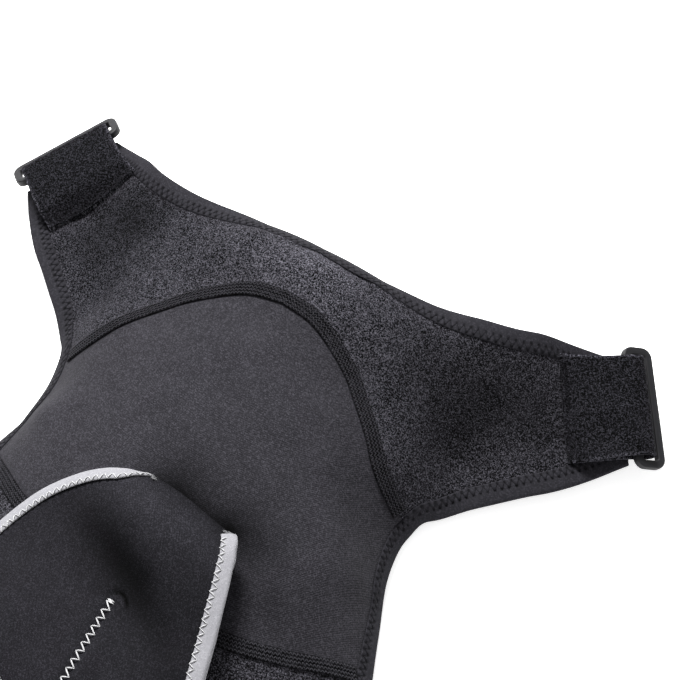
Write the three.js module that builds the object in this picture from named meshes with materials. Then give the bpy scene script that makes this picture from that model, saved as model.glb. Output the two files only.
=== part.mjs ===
// Shoulder brace lying on a table with its dome up: a fleece yoke that runs out into two
// wings, a smooth shoulder cap, a sleeve, taped seams, bound edges, webbing loops that hold
// two plastic rings, and a bound pressure pad that lies over the cap.
// Millimetres, +Z up. X runs along the wings and Y from the sleeve to the neck. The shapes
// are worked out from the middle of the armhole line and then moved so that the origin is
// below the middle of the whole brace, on the table.
import * as THREE from 'three';

// The lying brace
const halfSpan = 170;        // midline to the outer end of a wing
const neckReach = 115;       // armhole line to the top of a wing
const sleeveReach = 200;     // armhole line to the end of the sleeve
const crestHeight = 60;      // table to the crest of the shoulder
const sleeveLean = 0.17;     // sideways drift of the sleeve for each mm down it
const leanStart = 10;        // below the armhole line
const leanEase = 15;
const sleeveTurn = 0.07;    // turn of the lower seam and the sleeve's end
const turnStart = 25;
const turnEnd = 80;
const clothWall = 3.2;       // neoprene with its facings
const seamGap = 0.3;         // between two panels along a seam
const clearance = 0.4;       // between one layer and the next

// Tapes
const bindingWidth = 8.6;
const bindingWall = 0.9;
const bindingGap = 0.7;      // the folded tape stands a little off the cloth
const bindingEndGap = 0.4;
const seamTapeWidth = 7.6;
const seamTapeWall = 0.5;
const seamTapeGap = 0.6;

// Webbing loops and rings
const webbingWidth = 50;
const webbingWall = 1.6;
const loopLength = 40;       // from the sewn end to the front of the fold
const loopOverlap = 27;      // how far the loop lies on the wing
const loopLift = 0.8;        // room between the bindings and the loop
const ringLength = 61;
const ringWidth = 16.5;
const ringBar = 4;
const ringThickness = 3.8;
const ringCorner = 3.2;      // radius of the bar's middle line at a corner
const ringChamfer = 0.8;
const loopSlack = 4.2;       // room between the bar and the front of the fold

// Pressure pad
const padWall = 4;
const padLength = 116;
const padFullWidth = 145;
const padRootAcross = 14;    // middle of the rolled top
const padRootAlong = -75;
const padAngle = 10;         // degrees from -Y towards -X
const padRise = 16;          // scale of the pad's lifts above the cloth under it
const padBindingWidth = 7;
const padBindingWall = 0.8;
const padBindingGap = 0.9;   // the thick pad leaves its tape looser

// Grid steps
const seamSteps = 22;
const wingEdgeSteps = 9;
const wingEndSteps = 4;
const capSteps = 8;
const sleeveSteps = 9;
const padSteps = 12;
const cornerSteps = 3;
const foldSteps = 4;
const webbingSteps = 4;

const colours = {
  fleece: { color: 0x2c2c30, roughness: 0.96, metalness: 0 },
  jersey: { color: 0x3a393e, roughness: 0.82, metalness: 0 },
  tape: { color: 0x1f1f23, roughness: 0.85, metalness: 0 },
  webbing: { color: 0x1b1b1e, roughness: 0.98, metalness: 0 },
  plastic: { color: 0x2b2b2f, roughness: 0.45, metalness: 0 },
  padCloth: { color: 0x232327, roughness: 0.8, metalness: 0 },
  greyTape: { color: 0xb4b3b8, roughness: 0.75, metalness: 0 },
};

// Plan outline of the right half. Across is a share of halfSpan, along a share of neckReach
// above the armhole line and of sleeveReach below it.
const sideEdge = [
  { across: 1.01, along: 0.64, mark: 'wing' },
  { across: 0.93, along: 0.485 },
  { across: 0.865, along: 0.38 },
  { across: 0.805, along: 0.305 },
  { across: 0.745, along: 0.225 },
  { across: 0.68, along: 0.14 },
  { across: 0.62, along: 0.045 },
  { across: 0.585, along: -0.01 },
  { across: 0.57, along: -0.05, mark: 'upperSeam' },
  { across: 0.56, along: -0.1 },
  { across: 0.565, along: -0.19 },
  { across: 0.60, along: -0.295 },
  { across: 0.63, along: -0.385, mark: 'lowerSeam' },
  { across: 0.66, along: -0.495 },
  { across: 0.67, along: -0.62 },
  { across: 0.665, along: -0.76 },
  { across: 0.65, along: -0.89 },
  { across: 0.62, along: -1, mark: 'end' },
];
const neckEdge = [
  { across: 0, along: 0.73, mark: 'middle' },
  { across: 0.18, along: 0.73 },
  { across: 0.295, along: 0.74 },
  { across: 0.38, along: 0.75, mark: 'aboveArmhole' },
  { across: 0.47, along: 0.77 },
  { across: 0.59, along: 0.815 },
  { across: 0.70, along: 0.90 },
  { across: 0.77, along: 0.95 },
  { across: 0.84, along: 0.99, mark: 'wing' },
];
const wingEnd = [
  { across: 1.01, along: 0.64 },
  { across: 0.935, along: 0.84 },
  { across: 0.84, along: 0.99 },
];
const upperSeam = [
  { across: 0, along: 0.405 },
  { across: 0.105, along: 0.38 },
  { across: 0.18, along: 0.33 },
  { across: 0.265, along: 0.25 },
  { across: 0.32, along: 0.175 },
  { across: 0.385, along: 0.085 },
  { across: 0.455, along: -0.01 },
  { across: 0.515, along: -0.035 },
  { across: 0.57, along: -0.05 },
];
const lowerSeam = [
  { across: 0, along: -0.575 },
  { across: 0.14, along: -0.57 },
  { across: 0.27, along: -0.55 },
  { across: 0.425, along: -0.495 },
  { across: 0.53, along: -0.44 },
  { across: 0.63, along: -0.385 },
];
const sleeveEnd = [
  { across: 0, along: -1.03 },
  { across: 0.3, along: -1.025 },
  { across: 0.62, along: -1 },
];

// Heights of the cloth's middle at spots of the right half, as shares of crestHeight, and
// of the left half where the cloth lies higher there
const heightSpots = [
  { across: 0, along: 0.74, height: 0.80 },
  { across: 0, along: 0.66, height: 0.95 },
  { across: 0, along: 0.57, height: 1.0 },
  { across: 0, along: 0.42, height: 0.95 },
  { across: 0, along: 0.13, height: 0.935 },
  { across: 0, along: -0.15, height: 0.90 },
  { across: 0, along: -0.37, height: 0.84 },
  { across: 0, along: -0.6, height: 0.74 },
  { across: 0, along: -0.82, height: 0.67 },
  { across: 0, along: -1.03, height: 0.60 },
  { across: 0.19, along: 0.74, height: 0.72, leftHeight: 0.80 },
  { across: 0.19, along: 0.66, height: 0.86, leftHeight: 0.93 },
  { across: 0.19, along: 0.56, height: 0.92, leftHeight: 0.97 },
  { across: 0.19, along: 0.385, height: 0.865 },
  { across: 0.19, along: 0.09, height: 0.865 },
  { across: 0.19, along: -0.25, height: 0.815 },
  { across: 0.19, along: -0.555, height: 0.70 },
  { across: 0.19, along: -1.02, height: 0.60 },
  { across: 0.355, along: 0.75, height: 0.68, leftHeight: 0.76 },
  { across: 0.355, along: 0.63, height: 0.72, leftHeight: 0.78 },
  { across: 0.355, along: 0.26, height: 0.66 },
  { across: 0.355, along: 0, height: 0.70 },
  { across: 0.355, along: -0.25, height: 0.665 },
  { across: 0.355, along: -0.555, height: 0.55 },
  { across: 0.355, along: -0.8, height: 0.50 },
  { across: 0.355, along: -1, height: 0.45 },
  { across: 0.5, along: 0.78, height: 0.70 },
  { across: 0.5, along: 0.57, height: 0.57 },
  { across: 0.5, along: 0.35, height: 0.45 },
  { across: 0.5, along: 0.04, height: 0.45 },
  { across: 0.5, along: -0.25, height: 0.43 },
  { across: 0.52, along: -0.555, height: 0.32 },
  { across: 0.52, along: -0.8, height: 0.30 },
  { across: 0.52, along: -1, height: 0.25 },
  { across: 0.57, along: 0.81, height: 0.68 },
  { across: 0.65, along: 0.86, height: 0.62 },
  { across: 0.70, along: 0.90, height: 0.52 },
  { across: 0.77, along: 0.95, height: 0.40 },
  { across: 0.84, along: 0.99, height: 0.32 },
  { across: 0.65, along: 0.43, height: 0.27 },
  { across: 0.735, along: 0.61, height: 0.28 },
  { across: 0.82, along: 0.78, height: 0.30 },
  { across: 0.59, along: 0.26, height: 0.20 },
  { across: 0.91, along: 0.74, height: 0.25 },
  { across: 1.01, along: 0.64, height: 0.10 },
  { across: 0.93, along: 0.485, height: 0.10 },
  { across: 0.865, along: 0.38, height: 0.10 },
  { across: 0.805, along: 0.305, height: 0.09 },
  { across: 0.745, along: 0.225, height: 0.08 },
  { across: 0.68, along: 0.14, height: 0.06 },
  { across: 0.62, along: 0.045, height: 0.05 },
  { across: 0.57, along: -0.05, height: 0.05 },
  { across: 0.56, along: -0.125, height: 0.05 },
  { across: 0.575, along: -0.25, height: 0.05 },
  { across: 0.63, along: -0.385, height: 0.05 },
  { across: 0.67, along: -0.575, height: 0.05 },
  { across: 0.66, along: -0.8, height: 0.05 },
  { across: 0.62, along: -1, height: 0.05 },
];
const spotSoftness = 40;     // how loosely the cloth follows the spots

// Rows of the yoke from its lower edge to the neck, closer together at the neck
const yokeRows = [0, 0.07, 0.15, 0.27, 0.41, 0.55, 0.68, 0.78, 0.86, 0.93, 1];

// Middles of the loops' sewn ends in the shares of the outline, the loops' angles from X
// towards Y and the drops of their rings below them, both in degrees
const strapLoops = [
  { name: 'left', side: -1, across: 0.765, along: 0.648, angle: 37, ringDrop: 8 },
  { name: 'right', side: 1, across: 0.788, along: 0.674, angle: 33, ringDrop: 14 },
];

// Rows of the pad from the tucked-under strip of its rolled top to its lower end. Down is a
// share of padLength, the reaches to the sides are shares of padFullWidth, and the lifts of
// padRise above the height at which the pad's bound edge lies on the cloth.
const padRows = [
  { down: 0.06, toLeft: 0.15, toRight: 0.09, left: -0.1, middle: -0.1, right: -0.1 },
  { down: 0.015, toLeft: 0.145, toRight: 0.09, left: -0.12, middle: -0.12, right: -0.12 },
  { down: -0.015, toLeft: 0.145, toRight: 0.1, left: -0.06, middle: -0.04, right: 0.02 },
  { down: -0.035, toLeft: 0.15, toRight: 0.125, left: 0, middle: 0.05, right: 0.24 },
  { down: -0.02, toLeft: 0.18, toRight: 0.145, left: 0.12, middle: 0.21, right: 0.46 },
  { down: 0.01, toLeft: 0.225, toRight: 0.155, left: 0.22, middle: 0.35, right: 0.56 },
  { down: 0.035, toLeft: 0.265, toRight: 0.165, left: 0.26, middle: 0.46, right: 0.6 },
  { down: 0.07, toLeft: 0.31, toRight: 0.175, left: 0.26, middle: 0.58, right: 0.62 },
  { down: 0.135, toLeft: 0.365, toRight: 0.195, left: 0.2, middle: 0.66, right: 0.64 },
  { down: 0.225, toLeft: 0.415, toRight: 0.22, left: 0.12, middle: 0.62, right: 0.64 },
  { down: 0.33, toLeft: 0.465, toRight: 0.25, left: 0.08, middle: 0.4, right: 0.6 },
  { down: 0.46, toLeft: 0.51, toRight: 0.275, left: 0.05, middle: 0.24, right: 0.54 },
  { down: 0.59, toLeft: 0.535, toRight: 0.3, left: 0.04, middle: 0.26, right: 0.42 },
  { down: 0.71, toLeft: 0.55, toRight: 0.33, left: 0.03, middle: 0.3, right: 0.28 },
  { down: 0.82, toLeft: 0.555, toRight: 0.36, left: 0.02, middle: 0.26, right: 0.13 },
  { down: 0.92, toLeft: 0.545, toRight: 0.375, left: 0, middle: 0.13, right: 0.04 },
  { down: 1, toLeft: 0.505, toRight: 0.365, left: 0, middle: 0, right: 0 },
];
const padBoundFrom = { left: 5, right: 4 };    // first rows that are bound at the sides
const padEndRound = 0.03;    // how far the lower corners draw up, a share of padLength

const degrees = Math.PI / 180;
const vec = (x, y, z) => new THREE.Vector3(x, y, z);

// Plan point of a table row, on the right (side 1) or on the left (side -1)
function planPoint(row, side = 1) {
  const reach = row.along < 0 ? sleeveReach : neckReach;
  return vec(side * row.across * halfSpan, row.along * reach, 0);
}

// The cloth's height over the plan, a thin sheet bent over the spots
function bentSheet(spots, softness) {
  const places = [];
  const heights = [];
  for (const spot of spots) {
    const sides = spot.across > 0 ? [1, -1] : [1];
    for (const side of sides) {
      const share = side < 0 && spot.leftHeight ? spot.leftHeight : spot.height;
      places.push(planPoint(spot, side));
      heights.push(share * crestHeight);
    }
  }
  const count = places.length;
  const bend = (a, x, y) => {
    const square = (a.x - x) ** 2 + (a.y - y) ** 2;
    return square > 0 ? square * Math.log(square) : 0;
  };
  const rows = [];
  for (let i = 0; i < count + 3; i += 1) {
    rows.push(new Array(count + 4).fill(0));
  }
  places.forEach((place, i) => {
    places.forEach((other, j) => {
      rows[i][j] = bend(other, place.x, place.y) + (i === j ? softness : 0);
    });
    const plane = [1, place.x, place.y];
    plane.forEach((value, k) => {
      rows[i][count + k] = value;
      rows[count + k][i] = value;
    });
    rows[i][count + 3] = heights[i];
  });
  const weights = solve(rows);
  return (x, y) => {
    let height = weights[count] + weights[count + 1] * x + weights[count + 2] * y;
    places.forEach((place, i) => {
      height += weights[i] * bend(place, x, y);
    });
    return height;
  };
}

// Gaussian elimination with row swaps; the last column is the right-hand side
function solve(rows) {
  const count = rows.length;
  for (let column = 0; column < count; column += 1) {
    let pivot = column;
    for (let r = column + 1; r < count; r += 1) {
      if (Math.abs(rows[r][column]) > Math.abs(rows[pivot][column])) pivot = r;
    }
    [rows[column], rows[pivot]] = [rows[pivot], rows[column]];
    for (let r = 0; r < count; r += 1) {
      if (r === column) continue;
      const factor = rows[r][column] / rows[column][column];
      if (factor === 0) continue;
      for (let c = column; c <= count; c += 1) rows[r][c] -= factor * rows[column][c];
    }
  }
  return rows.map((row, i) => row[count] / row[i]);
}

const sheetHeight = bentSheet(heightSpots, spotSoftness);

const ease = (value) => {
  const t = Math.min(1, Math.max(0, value));
  return t * t * (3 - 2 * t);
};

// The soft sleeve lies a little off the midline
function settled(x, y) {
  const down = Math.max(0, -y - leanStart);
  const lean = sleeveLean * down * down / (down + leanEase);
  const turn = sleeveTurn * ease((-y - turnStart) / (turnEnd - turnStart));
  return vec(x + lean, y - turn * x, sheetHeight(x, y));
}

// Point and normal of the cloth's middle over a plan point
function clothAt(x, y) {
  const step = 0.5;
  const alongX = settled(x + step, y).sub(settled(x - step, y));
  const alongY = settled(x, y + step).sub(settled(x, y - step));
  return { point: settled(x, y), normal: alongX.cross(alongY).normalize() };
}

const evenShares = (steps) => Array.from({ length: steps + 1 }, (unused, i) => i / steps);

// Plan points along a table's curve between two of its rows, spaced by a count of even
// steps or by a list of shares of the length
function stations(table, from, to, spacing, side = 1) {
  const shares = Array.isArray(spacing) ? spacing : evenShares(spacing);
  const curve = new THREE.CatmullRomCurve3(table.map((row) => planPoint(row, side)));
  const samples = 240;
  const last = table.length - 1;
  const points = [];
  for (let i = 0; i <= samples; i += 1) {
    points.push(curve.getPoint((from + (to - from) * i / samples) / last));
  }
  const lengths = [0];
  for (let i = 1; i <= samples; i += 1) {
    lengths.push(lengths[i - 1] + points[i].distanceTo(points[i - 1]));
  }
  const result = [];
  let cursor = 0;
  for (const part of shares) {
    const target = lengths[samples] * part;
    while (cursor < samples - 1 && lengths[cursor + 1] < target) cursor += 1;
    const share = (target - lengths[cursor]) / (lengths[cursor + 1] - lengths[cursor]);
    result.push(points[cursor].clone().lerp(points[cursor + 1], share));
  }
  return result;
}

const rowOf = (table, mark) => table.findIndex((row) => row.mark === mark);
const whole = (table, spacing, side) => stations(table, 0, table.length - 1, spacing, side);

// A curve given for the right half, as one run of points from the left end to the right end
function bothHalves(rightHalf, leftHalf) {
  return [...leftHalf.slice(1).reverse(), ...rightHalf];
}

// Plan curves
const seamIndex = rowOf(sideEdge, 'upperSeam');
const sleeveIndex = rowOf(sideEdge, 'lowerSeam');
const endIndex = rowOf(sideEdge, 'end');
const neckIndex = rowOf(neckEdge, 'aboveArmhole');
const neckLast = neckEdge.length - 1;
const half = seamSteps / 2;

const wingSide = (side) => stations(sideEdge, 0, seamIndex, wingEdgeSteps, side);
const capSide = (side) => stations(sideEdge, seamIndex, sleeveIndex, capSteps, side);
const sleeveSide = (side) => stations(sideEdge, sleeveIndex, endIndex, sleeveSteps, side);
const seamLine = bothHalves(whole(upperSeam, half, 1), whole(upperSeam, half, -1));
const lowerLine = bothHalves(whole(lowerSeam, half, 1), whole(lowerSeam, half, -1));
const endLine = bothHalves(whole(sleeveEnd, half, 1), whole(sleeveEnd, half, -1));
const neckHalf = (side) => [
  ...stations(neckEdge, 0, neckIndex, half, side),
  ...stations(neckEdge, neckIndex, neckLast, wingEdgeSteps, side).slice(1),
];
const neckLine = bothHalves(neckHalf(1), neckHalf(-1));
const yokeLow = [
  ...wingSide(-1),
  ...seamLine.slice(1, -1),
  ...wingSide(1).reverse(),
];

// Patch between four plan curves; low and high run from left to right, the others upwards
function patch(low, high, left, right, rows) {
  const acrossSteps = low.length - 1;
  const grid = [];
  for (let i = 0; i <= acrossSteps; i += 1) {
    const u = i / acrossSteps;
    const line = [];
    rows.forEach((v, j) => {
      const ruledUp = low[i].clone().lerp(high[i], v);
      const ruledAcross = left[j].clone().lerp(right[j], u);
      const corners = low[0].clone().lerp(low[acrossSteps], u);
      corners.lerp(high[0].clone().lerp(high[acrossSteps], u), v);
      line.push(ruledUp.add(ruledAcross).sub(corners));
    });
    grid.push(line);
  }
  return grid;
}

// Closed body between an upper and a lower grid of points
function slab(upper, lower) {
  const rows = upper.length;
  const columns = upper[0].length;
  const positions = [];
  for (const grid of [upper, lower]) {
    for (const line of grid) {
      for (const point of line) positions.push(point.x, point.y, point.z);
    }
  }
  const indices = [];
  const at = (layer, i, j) => layer * rows * columns + i * columns + j;
  const quad = (a, b, c, d) => indices.push(a, b, c, a, c, d);
  for (let i = 0; i < rows - 1; i += 1) {
    for (let j = 0; j < columns - 1; j += 1) {
      quad(at(0, i, j), at(0, i + 1, j), at(0, i + 1, j + 1), at(0, i, j + 1));
      quad(at(1, i, j), at(1, i, j + 1), at(1, i + 1, j + 1), at(1, i + 1, j));
    }
  }
  for (let i = 0; i < rows - 1; i += 1) {
    quad(at(0, i, 0), at(1, i, 0), at(1, i + 1, 0), at(0, i + 1, 0));
    const j = columns - 1;
    quad(at(0, i, j), at(0, i + 1, j), at(1, i + 1, j), at(1, i, j));
  }
  for (let j = 0; j < columns - 1; j += 1) {
    quad(at(0, 0, j), at(0, 0, j + 1), at(1, 0, j + 1), at(1, 0, j));
    const i = rows - 1;
    quad(at(0, i, j), at(1, i, j), at(1, i, j + 1), at(0, i, j + 1));
  }
  return bodyOf(positions, indices);
}

// Closed body whose sections follow each other round a closed path
function closedSweep(sections) {
  const rows = sections.length;
  const columns = sections[0].length;
  const positions = sections.flat().flatMap((point) => [point.x, point.y, point.z]);
  const indices = [];
  const at = (i, j) => (i % rows) * columns + (j % columns);
  for (let i = 0; i < rows; i += 1) {
    for (let j = 0; j < columns; j += 1) {
      indices.push(at(i, j), at(i + 1, j), at(i + 1, j + 1));
      indices.push(at(i, j), at(i + 1, j + 1), at(i, j + 1));
    }
  }
  return bodyOf(positions, indices);
}

// Geometry with its faces pointing out
function bodyOf(positions, indices) {
  const corner = (k) => vec(positions[3 * k], positions[3 * k + 1], positions[3 * k + 2]);
  let volume = 0;
  for (let k = 0; k < indices.length; k += 3) {
    const [a, b, c] = [corner(indices[k]), corner(indices[k + 1]), corner(indices[k + 2])];
    volume += a.dot(b.cross(c));
  }
  const outward = volume > 0 ? indices : indices.slice().reverse();
  const geometry = new THREE.BufferGeometry();
  geometry.setAttribute('position', new THREE.Float32BufferAttribute(positions, 3));
  geometry.setIndex(outward);
  geometry.computeVertexNormals();
  return geometry;
}

const brace = new THREE.Group();
function add(name, geometry, colour) {
  const mesh = new THREE.Mesh(geometry, new THREE.MeshStandardMaterial(colours[colour]));
  mesh.name = name;
  brace.add(mesh);
}

const offset = (place, height) => place.point.clone().addScaledVector(place.normal, height);

// Panels, each drawn back from its seams by half the gap
function panel(low, high, left, right, rows) {
  const grid = patch(low, high, left, right, rows);
  const cloth = grid.map((line) => line.map((plan) => clothAt(plan.x, plan.y)));
  const upper = cloth.map((line) => line.map((place) => offset(place, clothWall / 2)));
  const lower = cloth.map((line) => line.map((place) => offset(place, -clothWall / 2)));
  return slab(upper, lower);
}
const shifted = (line, dy) => line.map((point) => point.clone().add(vec(0, dy, 0)));

const yokeSide = (side) => whole(wingEnd, yokeRows, side);
const yokeLowLine = yokeLow.map((point, i) => {
  const onSeam = i >= wingEdgeSteps && i <= wingEdgeSteps + seamSteps;
  return point.clone().add(vec(0, onSeam ? seamGap / 2 : 0, 0));
});
add('yoke_panel', panel(yokeLowLine, neckLine, yokeSide(-1), yokeSide(1), yokeRows), 'fleece');

function middlePanel(top, bottom, side, topShift, bottomShift) {
  const left = side(-1).reverse();
  const right = side(1).reverse();
  const steps = left.length - 1;
  const drawnBack = (line) => line.map((point, j) => {
    const share = j / steps;
    return point.clone().add(vec(0, bottomShift * (1 - share) + topShift * share, 0));
  });
  return panel(shifted(bottom, bottomShift), shifted(top, topShift),
    drawnBack(left), drawnBack(right), evenShares(steps));
}
add('cap_panel', middlePanel(seamLine, lowerLine, capSide, -seamGap / 2, seamGap / 2), 'jersey');
add('sleeve_panel', middlePanel(lowerLine, endLine, sleeveSide, -seamGap / 2, 0), 'fleece');

// Unit plan direction square to a line at one of its points, to the left of its run
function squareTo(line, i) {
  const before = line[Math.max(0, i - 1)];
  const after = line[Math.min(line.length - 1, i + 1)];
  const run = after.clone().sub(before).normalize();
  return vec(-run.y, run.x, 0);
}

// Cloth place at a surface distance from a plan point, along a plan direction
function placeAway(start, direction, distance) {
  const step = Math.sign(distance) * 0.4;
  const plan = start.clone();
  let walked = 0;
  let last = settled(plan.x, plan.y);
  while (walked < Math.abs(distance)) {
    plan.addScaledVector(direction, step);
    const next = settled(plan.x, plan.y);
    walked += next.distanceTo(last);
    last = next;
  }
  return clothAt(plan.x, plan.y);
}

// Cover-stitched tape over a seam, between the two bindings
function seamTape(line) {
  const height = clothWall / 2 + seamTapeGap;
  const first = 1;
  const upper = [];
  const lower = [];
  for (let i = first; i < line.length - first; i += 1) {
    const square = squareTo(line, i);
    const places = [-1, 0, 1].map((side) => placeAway(line[i], square, side * seamTapeWidth / 2));
    upper.push(places.map((place) => offset(place, height + seamTapeWall)));
    lower.push(places.map((place) => offset(place, height)));
  }
  return slab(upper, lower);
}
add('upper_seam_tape', seamTape(seamLine), 'tape');
add('lower_seam_tape', seamTape(lowerLine), 'tape');

// Folded tape round an edge. Each section gives the edge's place, the place at the end of
// the tape's legs and the unit direction that points away from the cloth.
function foldedTape(sections, wall, layer, gap) {
  const inside = layer / 2 + gap;
  const outside = inside + wall;
  const upper = [];
  const lower = [];
  for (const { edge, middle, leg, out } of sections) {
    const spot = (away, height) => offset(edge, height).addScaledVector(out, away);
    upper.push([
      offset(leg, outside),
      ...(middle ? [offset(middle, outside)] : []),
      spot(gap, outside),
      spot(gap + wall, inside * 0.5),
      spot(gap + wall, -inside * 0.5),
      spot(gap, -outside),
      ...(middle ? [offset(middle, -outside)] : []),
      offset(leg, -outside),
    ]);
    lower.push([
      offset(leg, inside),
      ...(middle ? [offset(middle, inside)] : []),
      spot(gap, inside),
      spot(gap, inside * 0.3),
      spot(gap, -inside * 0.3),
      spot(gap, -inside),
      ...(middle ? [offset(middle, -inside)] : []),
      offset(leg, -inside),
    ]);
  }
  return slab(upper, lower);
}

// Binding along a plan line whose cloth lies on the line's left (turn 1) or right (turn -1);
// a rolled edge needs a middle place on the legs
function edgeBinding(line, turn, rolled = false) {
  const sections = line.map((plan, i) => {
    const inward = squareTo(line, i).multiplyScalar(turn);
    const edge = clothAt(plan.x, plan.y);
    const leg = placeAway(plan, inward, bindingWidth);
    const middle = rolled ? placeAway(plan, inward, bindingWidth / 2) : null;
    const out = edge.point.clone().sub(leg.point);
    out.addScaledVector(edge.normal, -out.dot(edge.normal)).normalize();
    return { edge, middle, leg, out };
  });
  return foldedTape(sections, bindingWall, clothWall, bindingGap);
}

// A run of plan points with its two ends cut back
function trimmed(line, cut) {
  const result = line.map((point) => point.clone());
  const last = result.length - 1;
  const pull = (end, next) => {
    const run = result[next].clone().sub(result[end]);
    result[end].addScaledVector(run.normalize(), cut);
  };
  pull(0, 1);
  pull(last, last - 1);
  return result;
}

const sideLine = (side) => [
  ...wingSide(side),
  ...capSide(side).slice(1),
  ...sleeveSide(side).slice(1),
];
const cornerCut = bindingWidth + bindingEndGap;
add('neck_binding', edgeBinding(trimmed(neckLine, bindingEndGap), -1, true), 'tape');
add('left_arm_binding', edgeBinding(trimmed(sideLine(-1), bindingEndGap), 1, true), 'tape');
add('right_arm_binding', edgeBinding(trimmed(sideLine(1), bindingEndGap), -1, true), 'tape');
add('sleeve_end_binding', edgeBinding(trimmed(endLine, cornerCut), 1), 'tape');
for (const [name, side] of [['left', -1], ['right', 1]]) {
  const line = trimmed(whole(wingEnd, wingEndSteps, side), cornerCut);
  add(`${name}_wing_binding`, edgeBinding(line, side), 'tape');
}

// Frame of a wing's tip, with places on the wing under the loop and a straight continuation
// beyond the wing. Out is the distance from the loop's sewn end, across runs to the neck.
function wingTip({ side, across: rootAcross, along: rootAlong, angle }) {
  const outPlan = vec(side * Math.cos(angle * degrees), Math.sin(angle * degrees), 0);
  const acrossPlan = vec(-side * Math.sin(angle * degrees), Math.cos(angle * degrees), 0);
  const root = planPoint({ across: rootAcross, along: rootAlong }, side);
  const onWing = (out, across) => {
    const plan = root.clone().addScaledVector(outPlan, out).addScaledVector(acrossPlan, across);
    return clothAt(plan.x, plan.y);
  };
  const nearEnd = (out) => {
    const low = onWing(out, -webbingWidth / 2).point;
    const high = onWing(out, webbingWidth / 2).point;
    return { middle: low.clone().lerp(high, 0.5), run: high.sub(low).normalize() };
  };
  const end = nearEnd(loopOverlap);
  const start = nearEnd(loopOverlap / 2);
  const bar = end.run;
  const normal = end.middle.clone().sub(start.middle).cross(bar).multiplyScalar(side).normalize();
  const out = bar.clone().cross(normal).multiplyScalar(side);
  const bulges = evenShares(webbingSteps).map((share) => {
    const place = onWing(loopOverlap, (share - 0.5) * webbingWidth);
    return place.point.sub(end.middle).dot(normal);
  });
  end.middle.addScaledVector(normal, Math.max(...bulges));
  const beyond = (distance, across) => ({
    point: end.middle.clone().addScaledVector(out, distance - loopOverlap)
      .addScaledVector(bar, across),
    normal,
  });
  const base = (distance, across) => {
    const wing = onWing(Math.min(distance, loopOverlap), across);
    const flat = beyond(distance, across);
    const share = ease(distance / loopOverlap);
    return {
      point: wing.point.lerp(flat.point, share),
      normal: wing.normal.lerp(normal, share).normalize(),
    };
  };
  return { base, beyond, bar, normal, out };
}

// Heights of the webbing's middle above the wing's middle, and of the ring's bar in the loop
const layerStep = webbingWall + clearance;
const overBinding = clothWall / 2 + bindingGap + bindingWall + loopLift + webbingWall / 2;
const barReach = 0.62 * Math.max(ringBar, ringThickness);
const barHeight = overBinding + webbingWall / 2 + clearance + barReach;
const topHeight = barHeight + barReach + clearance + webbingWall / 2;
const foldRadius = (topHeight - overBinding) / 2;
const foldOut = loopLength - foldRadius - webbingWall / 2;
const barOut = foldOut - (foldRadius - webbingWall / 2 - barReach) - loopSlack;

// The webbing's middle line: out along the wing, round the bar and back on top
function loopLine() {
  const line = [0, 0.25, 0.5, 0.75, 1].map((share) => (
    { out: loopOverlap * share, height: overBinding }));
  for (let i = 0; i <= foldSteps; i += 1) {
    const angle = (i / foldSteps - 0.5) * Math.PI;
    line.push({
      out: foldOut + foldRadius * Math.cos(angle),
      height: barHeight + foldRadius * Math.sin(angle),
    });
  }
  for (const share of [0.86, 0.68, 0.5, 0.3, 0.12, 0]) {
    const rise = topHeight - overBinding - layerStep;
    line.push({ out: foldOut * share, height: overBinding + layerStep + rise * ease(share) });
  }
  return line;
}

function strapLoop(tip) {
  const line = loopLine();
  const upper = [];
  const lower = [];
  line.forEach((spot, i) => {
    const before = line[Math.max(0, i - 1)];
    const after = line[Math.min(line.length - 1, i + 1)];
    const run = Math.hypot(after.out - before.out, after.height - before.height);
    const square = {
      out: (after.height - before.height) / run,
      height: -(after.out - before.out) / run,
    };
    const face = (shift) => evenShares(webbingSteps).map((share) => {
      const across = (share - 0.5) * webbingWidth;
      const place = tip.base(spot.out + square.out * shift, across);
      return offset(place, spot.height + square.height * shift);
    });
    upper.push(face(webbingWall / 2));
    lower.push(face(-webbingWall / 2));
  });
  return slab(upper, lower);
}

// Rectangular ring whose inner bar lies in the loop and whose outer bar drops to the table
function strapRing(tip, { side, ringDrop }) {
  const centre = offset(tip.beyond(barOut, 0), barHeight);
  const drop = ringDrop * degrees;
  const out = tip.out.clone().multiplyScalar(Math.cos(drop));
  out.addScaledVector(tip.normal, -Math.sin(drop));
  const up = tip.bar.clone().cross(out).multiplyScalar(-side).normalize();
  const halfLong = (ringLength - ringBar) / 2;
  const halfWide = (ringWidth - ringBar) / 2;
  centre.addScaledVector(out, halfWide);
  const sections = [];
  for (const [alongSign, outSign, turn] of [[1, 1, 0], [-1, 1, 90], [-1, -1, 180], [1, -1, 270]]) {
    for (let i = 0; i <= cornerSteps; i += 1) {
      const angle = (turn + 90 * i / cornerSteps) * degrees;
      const away = tip.bar.clone().multiplyScalar(Math.cos(angle));
      away.addScaledVector(out, Math.sin(angle));
      const middle = centre.clone()
        .addScaledVector(tip.bar, alongSign * (halfLong - ringCorner))
        .addScaledVector(out, outSign * (halfWide - ringCorner))
        .addScaledVector(away, ringCorner);
      sections.push(ringSection(middle, away, up));
    }
  }
  return closedSweep(sections);
}

// Bar section with its corners taken off
function ringSection(middle, away, up) {
  const wide = ringBar / 2;
  const thick = ringThickness / 2;
  const corners = [
    [wide, thick - ringChamfer], [wide - ringChamfer, thick],
    [ringChamfer - wide, thick], [-wide, thick - ringChamfer],
    [-wide, ringChamfer - thick], [ringChamfer - wide, -thick],
    [wide - ringChamfer, -thick], [wide, ringChamfer - thick],
  ];
  return corners.map(([a, b]) => middle.clone().addScaledVector(away, a).addScaledVector(up, b));
}

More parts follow.
